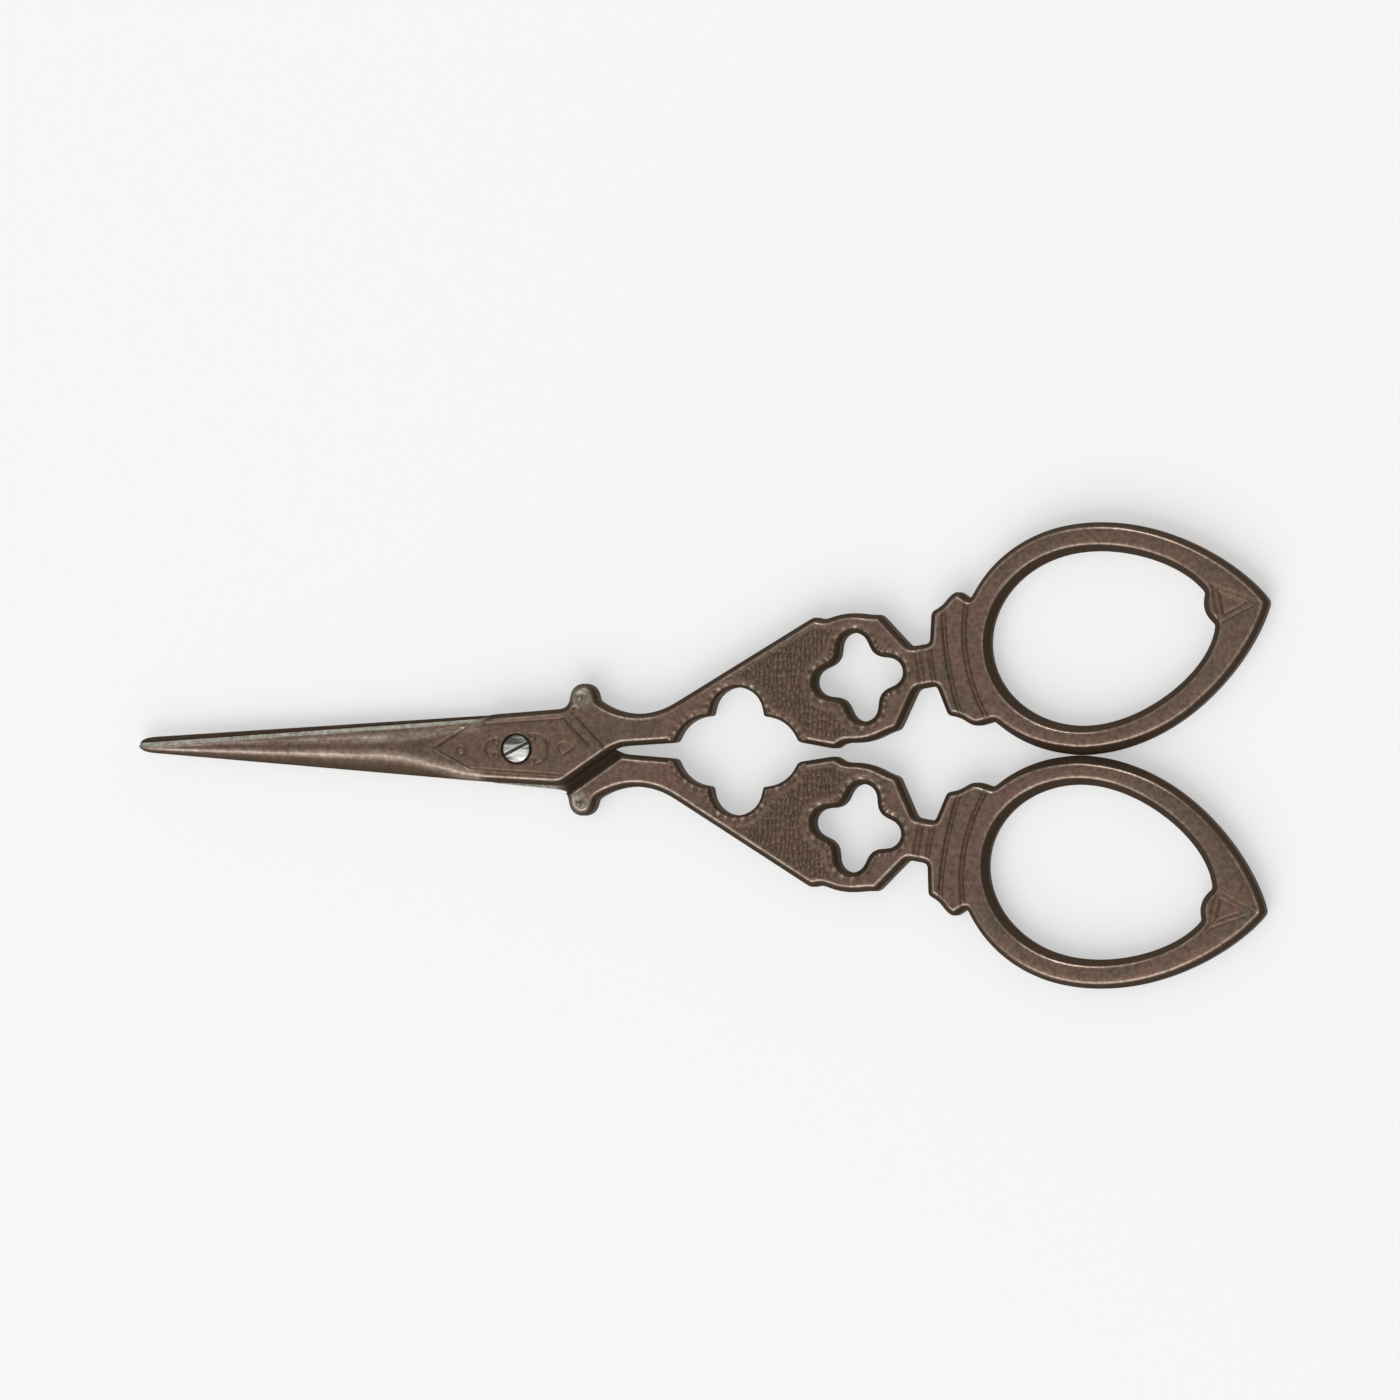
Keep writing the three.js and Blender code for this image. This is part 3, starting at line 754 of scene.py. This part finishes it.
def blade_points():
    """Points of the blade in rows that follow its spine and its cutting edge."""
    x = np.arange(outlines.tip + TIP_CLEAR, LATTICE_START, BLADE_STATION)
    edge = np.interp(x, outlines.edge[:, 0], outlines.edge[:, 1])
    spine = np.interp(x, outlines.spine[:, 0], outlines.spine[:, 1])
    rows = [np.stack([x, lerp(spine, edge, s)], 1) for s in BLADE_SHARES + BLADE_UPPER_SHARES]
    return np.vstack(rows)


def triangulate(loops, inner):
    """Triangles between closed loops and points inside them, as numbers into loops and points in order.

    A triangle with all its corners on one loop is inside if it has them in the loop's own order."""
    points = np.vstack([*loops, inner])
    edges = []
    start = 0
    for loop in loops:
        count = len(loop)
        edges += [(start + i, start + (i + 1) % count) for i in range(count)]
        start += count
    found = delaunay_2d_cdt([Vector(p) for p in points], edges, [], 0, MERGE)
    old = np.array([sources[0] for sources in found[3]])
    faces = old[np.array(found[2])]
    owner = np.repeat(np.arange(len(loops) + 1), [*map(len, loops), len(inner)])[faces]
    one_loop = (owner == owner[:, :1]).all(1) & (owner[:, 0] < len(loops))
    forward = (np.roll(faces, -1, 1) > faces).sum(1) == 2
    return points, faces[forward | ~one_loop]


class Shell:
    """Collects the skins and walls of one piece."""

    def __init__(self):
        self.points = []
        self.wear_and_shading = []
        self.faces = []
        self.count = 0

    def add(self, points, wear_and_shading, faces):
        self.points.append(points)
        self.wear_and_shading.append(np.broadcast_to(wear_and_shading, (len(points), 3)))
        self.faces += [[i + self.count for i in face] for face in faces]
        self.count += len(points)

    def skin(self, points, height, wear_and_shading, faces, up):
        places = np.column_stack([points, np.broadcast_to(height, len(points))])
        self.add(places, wear_and_shading, (faces if up else faces[:, ::-1]).tolist())

    def wall(self, loop, top, bottom, wear_and_shading=WALL_PATINA_AND_SHADE):
        """Upright wall under a closed loop that has the solid on its left."""
        count = len(loop)
        upper = np.column_stack([loop, np.broadcast_to(top, count)])
        lower = np.column_stack([loop, np.broadcast_to(bottom, count)])
        following = [(i, (i + 1) % count) for i in range(count)]
        faces = [(a, count + a, count + b, b) for a, b in following]
        self.add(np.vstack([upper, lower]), wear_and_shading, faces)

    def build(self, name, turned_over, material):
        """One mesh object in metres, in the frame of the scissors."""
        points = np.vstack(self.points)
        wear_and_shading = np.vstack(self.wear_and_shading)
        places = np.round(points, WELD_DIGITS)
        _, first, same = np.unique(places, axis=0, return_index=True, return_inverse=True)
        same = same.ravel()
        points = points[first]
        if turned_over:
            points = points * (1, -1, -1)
        faces = [tuple(same[list(face)]) for face in self.faces]
        faces = [face for face in faces if len(set(face)) == len(face)]
        mesh = bpy.data.meshes.new(name)
        mesh.from_pydata(((points + (0, 0, LAP)) * MM).tolist(), [], faces)
        colours = mesh.color_attributes.new("wear_and_shading", "FLOAT_COLOR", "POINT")
        values = np.column_stack([wear_and_shading[first], np.ones(len(first))])
        colours.data.foreach_set("color", values.ravel())
        mesh.polygons.foreach_set("use_smooth", np.ones(len(faces), bool))
        mesh.set_sharp_from_angle(angle=SHARP_TURN)
        mesh.materials.append(material)
        piece = bpy.data.objects.new(name, mesh)
        bpy.context.scene.collection.objects.link(piece)
        return piece


def half(name, hole_radius, turned_over, material):
    """One forged half: carved outer face, carved underside of the handle, flat lap and walls between."""
    shell = Shell()
    hole = circle((0, 0), hole_radius)[::-1]
    bore = circle((0, 0), BORE_RADIUS)[::-1]
    piercings = [outlines.opening, outlines.pierced]
    piercing_kinds = [OPENING_EDGE, PIERCED_EDGE]

    outer = Region([outlines.whole, *piercings, hole], [OUTER_EDGE, *piercing_kinds, HOLE_EDGE])
    points, faces = triangulate(outer.loops, np.vstack([relief_points(outer), blade_points()]))
    shell.skin(points, *carve(points, outer), faces, True)

    handle_loop = np.vstack([outlines.handle_side, outlines.shoulder[1:-1]])
    under = Region([handle_loop, *piercings], [OUTER_EDGE, *piercing_kinds])
    points, faces = triangulate(under.loops, relief_points(under))
    height, wear_and_shading = carve(points, under)
    shell.skin(points, -height, wear_and_shading, faces, False)

    lap_loop = np.vstack([outlines.lap_side, outlines.shoulder[-2:0:-1]])
    lap = Region([lap_loop, bore], [OUTER_EDGE, HOLE_EDGE])
    spots = lattice(lap_loop.min(0), lap_loop.max(0), LAP_STEP).reshape(-1, 2)
    spots = spots[lap.measure(spots)[0] > LAP_STEP / 4]
    points, faces = triangulate(lap.loops, spots)
    shell.skin(points, INNER, lap_wear_and_shading(points, lap), faces, False)

    for loop in piercings:
        shell.wall(loop, carve(loop, outer)[0], -carve(loop, under)[0])
    shell.wall(outlines.whole, carve(outlines.whole, outer)[0], INNER)
    shell.wall(handle_loop, INNER, -carve(handle_loop, under)[0])
    top = carve(hole, outer)[0]
    if hole_radius > BORE_RADIUS:
        seat = FACE - SEAT_DEPTH
        points, faces = triangulate([hole, bore], np.zeros((0, 2)))
        shell.wall(hole, top, seat)
        shell.skin(points, seat, SUNK_PAINTED_SHADE, faces, True)
        top = seat
    shell.wall(bore, top, INNER)
    return shell.build(name, turned_over, material)


def head_height(points):
    """Height and colour of the screw's head: a low dome with a rounded rim and a slot across it, painted
    shade in the slot and at the rim, a rubbed line with a painted highlight beside the slot.
    """
    away = np.hypot(*points.T)
    crown = screw_high[2] - LAP
    dome = (HEAD_RADIUS**2 + HEAD_CROWN**2) / (2 * HEAD_CROWN)
    height = crown - dome + np.sqrt(dome**2 - away**2)
    rim = np.clip(away - HEAD_RADIUS + HEAD_ROUND, 0, HEAD_ROUND)
    height = height - HEAD_ROUND + np.sqrt(HEAD_ROUND**2 - rim**2)
    across = np.abs(turned(points, -SLOT_ANGLE)[:, 1])
    slot = 1 - smoothstep(SLOT_HALF - SLOT_WALL, SLOT_HALF, across)
    # Painted shade in the slot and at the rim
    slot_and_rim_shade = np.maximum(slot, smoothstep(HEAD_RADIUS - RIM_SHADE, HEAD_RADIUS, away))
    inset, half_width = SLOT_RUB_AND_HIGHLIGHT
    wear_and_shading = np.stack([slot_and_rim_shade, ridge(across - SLOT_HALF - inset, half_width), 0 * slot], 1)
    return lerp(height, crown - SLOT_DEPTH, slot), wear_and_shading


def head_points():
    """Points of the screw's head: rows along the slot's edges, and rings that leave them room."""
    run = SLOT_RUN * HEAD_RADIUS
    sides = [SLOT_HALF - SLOT_WALL, SLOT_HALF - SLOT_WALL / 2, SLOT_HALF, SLOT_HALF + SLOT_WALL]
    rows = [turned(np.column_stack([run, 0 * run + s]), SLOT_ANGLE) for v in sides for s in (v, -v)]
    rows = np.vstack(rows)
    rows = rows[np.hypot(*rows.T) < HEAD_RADIUS - SLOT_WALL]
    rings = np.vstack([circle((0, 0), r) for r in HEAD_RINGS * HEAD_RADIUS])
    across = np.abs(turned(rings, -SLOT_ANGLE)[:, 1])
    return np.vstack([rows, rings[np.abs(across - SLOT_HALF) > 2 * SLOT_WALL]])


def screw(material):
    """Slotted screw, its plain end dressed level with the underside."""
    shell = Shell()
    rim = circle((0, 0), HEAD_RADIUS)
    shank = circle((0, 0), SHANK_RADIUS)
    seat = FACE - SEAT_DEPTH + SEAT_GAP
    points, faces = triangulate([rim], head_points())
    height, wear_and_shading = head_height(points)
    shell.skin(points, height, wear_and_shading, faces, True)
    shell.wall(rim, head_height(rim)[0], seat)
    points, faces = triangulate([rim, shank[::-1]], np.zeros((0, 2)))
    shell.skin(points, seat, SUNK_PAINTED_SHADE, faces, False)
    shell.wall(shank, seat, -FACE)
    points, faces = triangulate([shank], np.vstack([circle((0, 0), r, END_STEPS) for r in END_RINGS]))
    shell.skin(points, -FACE, END_WEAR, faces, False)
    return shell.build("screw", False, material)


def node(tree, kind, values=None, **settings):
    """A shader node with its settings, and its sockets set to values or linked to other nodes' sockets."""
    made = tree.nodes.new(kind)
    for key, value in settings.items():
        setattr(made, key, value)
    for socket, value in (values or {}).items():
        if isinstance(value, bpy.types.NodeSocket):
            tree.links.new(value, made.inputs[socket])
        else:
            made.inputs[socket].default_value = value
    return made


def new_material(name):
    material = bpy.data.materials.new(name)
    material.use_nodes = True
    material.node_tree.nodes.clear()
    return material, material.node_tree


def mixed(tree, share, a, b):
    """A colour between two, each a socket or a colour."""
    made = node(tree, "ShaderNodeMix", data_type="RGBA")
    for number, value in ((0, share), (6, a), (7, b)):
        if isinstance(value, bpy.types.NodeSocket):
            tree.links.new(value, made.inputs[number])
        else:
            made.inputs[number].default_value = value
    return made.outputs[2]


def number(tree, operation, a, b, c=None, clamp=False):
    values = {0: a, 1: b}
    if c is not None:
        values[2] = c
    made = node(tree, "ShaderNodeMath", values, operation=operation, use_clamp=clamp)
    return made.outputs[0]


def noise(tree, place, scale, detail=2.0, rough=0.5):
    values = {"Vector": place, "Scale": scale, "Detail": detail, "Roughness": rough}
    return node(tree, "ShaderNodeTexNoise", values).outputs["Fac"]


def between(tree, value, low, high, out_low=0.0, out_high=1.0):
    values = {"Value": value, "From Min": low, "From Max": high, "To Min": out_low, "To Max": out_high}
    return node(tree, "ShaderNodeMapRange", values).outputs[0]


def wear_and_shading_channels(tree):
    wear_and_shading = node(tree, "ShaderNodeAttribute", attribute_name="wear_and_shading")
    split = node(tree, "ShaderNodeSeparateColor", {"Color": wear_and_shading.outputs["Color"]})
    return split.outputs["Red"], split.outputs["Green"], split.outputs["Blue"]


FLAT_BROWN = (0.145, 0.099, 0.074, 1)
FLAT_RED = (0.163, 0.099, 0.078, 1)
FLAT_OLIVE = (0.117, 0.093, 0.067, 1)
# Dark colour of patina and painted shade; bright colour of rubbed metal and painted highlights
PATINA_AND_SHADE = (0.034, 0.020, 0.011, 1)
PATINA_AND_SHADE_GREEN = (0.033, 0.025, 0.015, 1)
RUBBED_AND_HIGHLIGHT = (0.56, 0.45, 0.38, 1)
GROUND = (0.46, 0.45, 0.39, 1)
BRONZE_TINT = (0.6, 0.47, 0.38, 1)

# Noises: scale, detail and roughness
CLOUD = (70, 2)
BLOTCH = (260, 3, 0.6)
MOTTLE = (1900, 3, 0.7)
GRAIN = (5200, 3, 0.65)
STREAK = (1, 3, 0.7)
STREAK_SCALE = (9000, 500, 500)

# Ranges of a noise, and what they become if that isn't 0 to 1
CLOUD_RED = (0.35, 0.65)
BLOTCH_OLIVE = (0.48, 0.66)
BLOTCH_GREEN = (0.4, 0.7)
GRAIN_PATINA = (0.2, 0.7, 0.8, 1.1)
BLOTCH_RUB = (0.3, 0.65, 0.5, 1)
CLOUD_RUB = (0.35, 0.6, 0.5, 1.1)
STREAK_STEEL = (0.25, 0.6, 0.6, 1)
MOTTLE_DARK = (0.38, 0.66, 0.0, 0.52)
GRAIN_DARK = (0.3, 0.75, 0.0, 0.16)
BLOTCH_ROUGH = (0.3, 0.7, 0.36, 0.46)

PATINA_ROUGHER = 0.2
RUB_ROUGHER = -0.13
PLAIN_METAL = 0.95
PATINA_METAL = -0.55  # added under full patina
STREAK_BUMP = 0.8
MOTTLE_BUMP = 1.5
BRONZE_BUMP = {"Strength": 0.22, "Distance": 0.00005}


def bronze_colour(tree, wear_and_shading, cloud, blotch, mottle, grain, streak):
    """Brown flats, dark patina in recesses and painted shade on chamfers and sides, bright where rubbed
    and where highlights are painted, steel where ground.
    """
    darkening, brightening, ground = wear_and_shading
    base = mixed(tree, between(tree, cloud, *CLOUD_RED), FLAT_BROWN, FLAT_RED)
    base = mixed(tree, between(tree, blotch, *BLOTCH_OLIVE), base, FLAT_OLIVE)
    dark = mixed(tree, between(tree, blotch, *BLOTCH_GREEN), PATINA_AND_SHADE, PATINA_AND_SHADE_GREEN)
    uneven = between(tree, grain, *GRAIN_PATINA)
    base = mixed(tree, number(tree, "MULTIPLY", darkening, uneven, clamp=True), base, dark)
    kept = number(tree, "MULTIPLY", between(tree, blotch, *BLOTCH_RUB), between(tree, cloud, *CLOUD_RUB))
    base = mixed(tree, number(tree, "MULTIPLY", brightening, kept, clamp=True), base, RUBBED_AND_HIGHLIGHT)
    steel = number(tree, "MULTIPLY", ground, between(tree, streak, *STREAK_STEEL), clamp=True)
    base = mixed(tree, steel, base, GROUND)
    base = mixed(tree, between(tree, mottle, *MOTTLE_DARK), base, PATINA_AND_SHADE)
    return mixed(tree, between(tree, grain, *GRAIN_DARK), base, PATINA_AND_SHADE)


def bronze():
    """Antique bronze over forged steel, satin, with a fine uneven surface."""
    material, tree = new_material("antique_bronze")
    place = node(tree, "ShaderNodeTexCoord").outputs["Object"]
    stretched = node(tree, "ShaderNodeMapping", {"Vector": place, "Scale": STREAK_SCALE}).outputs[0]
    cloud, blotch, mottle, grain = (noise(tree, place, *kind) for kind in (CLOUD, BLOTCH, MOTTLE, GRAIN))
    streak = noise(tree, stretched, *STREAK)
    wear_and_shading = wear_and_shading_channels(tree)
    darkening, brightening, ground = wear_and_shading
    rough = number(tree, "MULTIPLY_ADD", darkening, PATINA_ROUGHER, between(tree, blotch, *BLOTCH_ROUGH))
    scored = number(tree, "MULTIPLY", streak, ground)
    surface = number(tree, "MULTIPLY_ADD", scored, STREAK_BUMP, grain)
    surface = number(tree, "MULTIPLY_ADD", mottle, MOTTLE_BUMP, surface)
    shader = node(tree, "ShaderNodeBsdfPrincipled", {
        "Base Color": bronze_colour(tree, wear_and_shading, cloud, blotch, mottle, grain, streak),
        "Roughness": number(tree, "MULTIPLY_ADD", brightening, RUB_ROUGHER, rough),
        "Metallic": number(tree, "MULTIPLY_ADD", darkening, PATINA_METAL, PLAIN_METAL),
        "Normal": node(tree, "ShaderNodeBump", {"Height": surface, **BRONZE_BUMP}).outputs[0],
        "Specular Tint": BRONZE_TINT,
    })
    node(tree, "ShaderNodeOutputMaterial", {"Surface": shader.outputs[0]})
    return material


STEEL_LIGHT = (0.66, 0.66, 0.64, 1)
STEEL_DULL = (0.08, 0.08, 0.077, 1)
# Painted shade in the slot and at the rim of the screw
SCREW_SHADE = (0.035, 0.033, 0.03, 1)
TURNED = (26000, 2)
DRAWN = (1, 4, 0.6)
DRAWN_SCALE = (170, 1150, 170)
DRAWN_DULL = (0.38, 0.6)
DRAWN_ROUGH = (0.3, 0.7, 0.16, 0.28)
SCREW_SHADE_SHARE = 0.92
GRIME_ROUGHER = 0.3
# Rubbed line with a painted highlight beside the slot
STEEL_RUB_AND_HIGHLIGHT = 0.5
STEEL_BUMP = {"Strength": 0.15, "Distance": 0.00002}


def bright_steel():
    """Turned nickel-plated steel with fine rings, drawn marks along the slot, painted shade in it and at
    the rim, and a painted highlight beside it.
    """
    material, tree = new_material("bright_steel")
    place = node(tree, "ShaderNodeTexCoord").outputs["Object"]
    darkening, brightening, _ = wear_and_shading_channels(tree)
    away = node(tree, "ShaderNodeVectorMath", {0: place}, operation="LENGTH").outputs["Value"]
    rings = noise(tree, node(tree, "ShaderNodeCombineXYZ", {"X": away}).outputs[0], *TURNED)
    along_slot = node(tree, "ShaderNodeMapping", {
        "Vector": place,
        "Rotation": (0, 0, -SLOT_ANGLE),
        "Scale": DRAWN_SCALE,
    }).outputs[0]
    drawn = noise(tree, along_slot, *DRAWN)
    base = mixed(tree, between(tree, drawn, *DRAWN_DULL), STEEL_LIGHT, STEEL_DULL)
    base = mixed(tree, number(tree, "MULTIPLY", darkening, SCREW_SHADE_SHARE), base, SCREW_SHADE)
    base = mixed(tree, number(tree, "MULTIPLY", brightening, STEEL_RUB_AND_HIGHLIGHT), base, STEEL_LIGHT)
    rough = number(tree, "MULTIPLY_ADD", darkening, GRIME_ROUGHER, between(tree, drawn, *DRAWN_ROUGH))
    shader = node(tree, "ShaderNodeBsdfPrincipled", {
        "Base Color": base,
        "Roughness": rough,
        "Metallic": 1.0,
        "Normal": node(tree, "ShaderNodeBump", {"Height": rings, **STEEL_BUMP}).outputs[0],
    })
    node(tree, "ShaderNodeOutputMaterial", {"Surface": shader.outputs[0]})
    return material


FLOOR_SIZE = 3.0
FLOOR_COLOUR = (0.935, 0.935, 0.935, 1)
FLOOR_GLOW = 0.34  # share that shows its plain colour to the camera, which lightens the shadow
FLOOR_DROP = 0.0001


def floor():
    """Plain pale table top, which shows part of its colour unlit to the camera and in reflections."""
    material, tree = new_material("pale_table")
    lit = node(tree, "ShaderNodeBsdfDiffuse", {"Color": FLOOR_COLOUR})
    plain = node(tree, "ShaderNodeEmission", {"Color": FLOOR_COLOUR, "Strength": 1.0})
    ray = node(tree, "ShaderNodeLightPath").outputs
    seen = number(tree, "MAXIMUM", ray["Is Camera Ray"], ray["Is Glossy Ray"])
    seen = number(tree, "MAXIMUM", seen, ray["Is Transmission Ray"])
    share = number(tree, "MULTIPLY", seen, FLOOR_GLOW)
    shader = node(tree, "ShaderNodeMixShader", {0: share, 1: lit.outputs[0], 2: plain.outputs[0]})
    node(tree, "ShaderNodeOutputMaterial", {"Surface": shader.outputs[0]})
    side = FLOOR_SIZE / 2
    corners = [(x * side, y * side, -FLOOR_DROP) for x, y in ((-1, -1), (1, -1), (1, 1), (-1, 1))]
    mesh = bpy.data.meshes.new("table")
    mesh.from_pydata(corners, [], [(0, 1, 2, 3)])
    mesh.materials.append(material)
    table = bpy.data.objects.new("table", mesh)
    bpy.context.scene.collection.objects.link(table)


HORIZON_LIGHT = 0.42
ZENITH_LIGHT = 0.33
REFLECTED_LIGHT = 0.6  # the backdrop that metal shows
BACKDROP_LIGHT = 1.0
LAMP_DISTANCE = 1.2
# Lamps: power, size, elevation and bearing in degrees, counted from +X towards +Y
KEY = (8.9, 1.3, 44, -98)
FILL = (5.8, 0.5, 28, 84)
TOP = (2.0, 1.2, 76, 190)


def soft_lamp(name, power, size, elevation, bearing, shadow=True):
    """A round soft lamp that faces the object."""
    data = bpy.data.lights.new(name, "AREA")
    data.shape = "DISK"
    data.size = size
    data.energy = power
    data.use_shadow = shadow
    lamp = bpy.data.objects.new(name, data)
    high, round_about = math.radians(elevation), math.radians(bearing)
    level = math.cos(high)
    way = Vector((level * math.cos(round_about), level * math.sin(round_about), math.sin(high)))
    lamp.location = way * LAMP_DISTANCE
    lamp.rotation_euler = way.to_track_quat("Z", "Y").to_euler()
    bpy.context.scene.collection.objects.link(lamp)


def lights():
    """A soft sky, brighter in metal than on the table, and soft lamps: overhead, on the near side with the
    shadow that falls to the far side, and opposite without a shadow of its own."""
    world = bpy.data.worlds.new("studio")
    world.use_nodes = True
    tree = world.node_tree
    tree.nodes.clear()
    direction = node(tree, "ShaderNodeTexCoord").outputs["Generated"]
    split = node(tree, "ShaderNodeSeparateXYZ", {"Vector": direction})
    level = between(tree, split.outputs["Z"], 0.0, 1.0, HORIZON_LIGHT, ZENITH_LIGHT)
    ray = node(tree, "ShaderNodeLightPath").outputs
    mirrored = number(tree, "MAXIMUM", ray["Is Glossy Ray"], ray["Is Transmission Ray"])
    level = between(tree, mirrored, 0.0, 1.0, level, REFLECTED_LIGHT)
    level = between(tree, ray["Is Camera Ray"], 0.0, 1.0, level, BACKDROP_LIGHT)
    sky = node(tree, "ShaderNodeBackground", {"Color": (1, 1, 1, 1), "Strength": level})
    node(tree, "ShaderNodeOutputWorld", {"Surface": sky.outputs[0]})
    bpy.context.scene.world = world
    soft_lamp("key", *KEY)
    soft_lamp("fill", *FILL, shadow=False)
    soft_lamp("top", *TOP)


VIEW_CENTRE = (18.69, 5.10, 3.3)
VIEW_TILT = math.radians(11)
VIEW_ROLL = 0.011
VIEW_DISTANCE = 5.0
VIEW_WIDTH = 0.14
VIEW_END = 20.0
SENSOR = 36.0


def camera():
    """A long lens over the table, leaning a little towards the bows."""
    data = bpy.data.cameras.new("camera")
    data.sensor_width = SENSOR
    data.lens = SENSOR * VIEW_DISTANCE / VIEW_WIDTH
    data.clip_end = VIEW_END
    back = Vector((math.sin(VIEW_TILT), 0, math.cos(VIEW_TILT)))
    level = Vector((math.cos(VIEW_TILT), 0, -math.sin(VIEW_TILT)))
    right = level * math.cos(VIEW_ROLL) + Vector((0, 1, 0)) * math.sin(VIEW_ROLL)
    up = back.cross(right)
    made = bpy.data.objects.new("camera", data)
    made.matrix_world = Matrix((right, up, back)).transposed().to_4x4()
    made.location = Vector(VIEW_CENTRE) * MM + back * VIEW_DISTANCE
    bpy.context.scene.collection.objects.link(made)
    bpy.context.scene.camera = made


bpy.context.scene.view_settings.view_transform = "Standard"
bronze_metal = bronze()
front = half("front_scissor_half", SEAT_RADIUS, False, bronze_metal)
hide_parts("front_half")
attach(front, "front_half")
back = half("back_scissor_half", BORE_RADIUS, True, bronze_metal)
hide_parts("back_half")
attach(back, "back_half")
pivot = screw(bright_steel())
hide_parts("pivot_screw")
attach(pivot, "back_half")
floor()
lights()
camera()
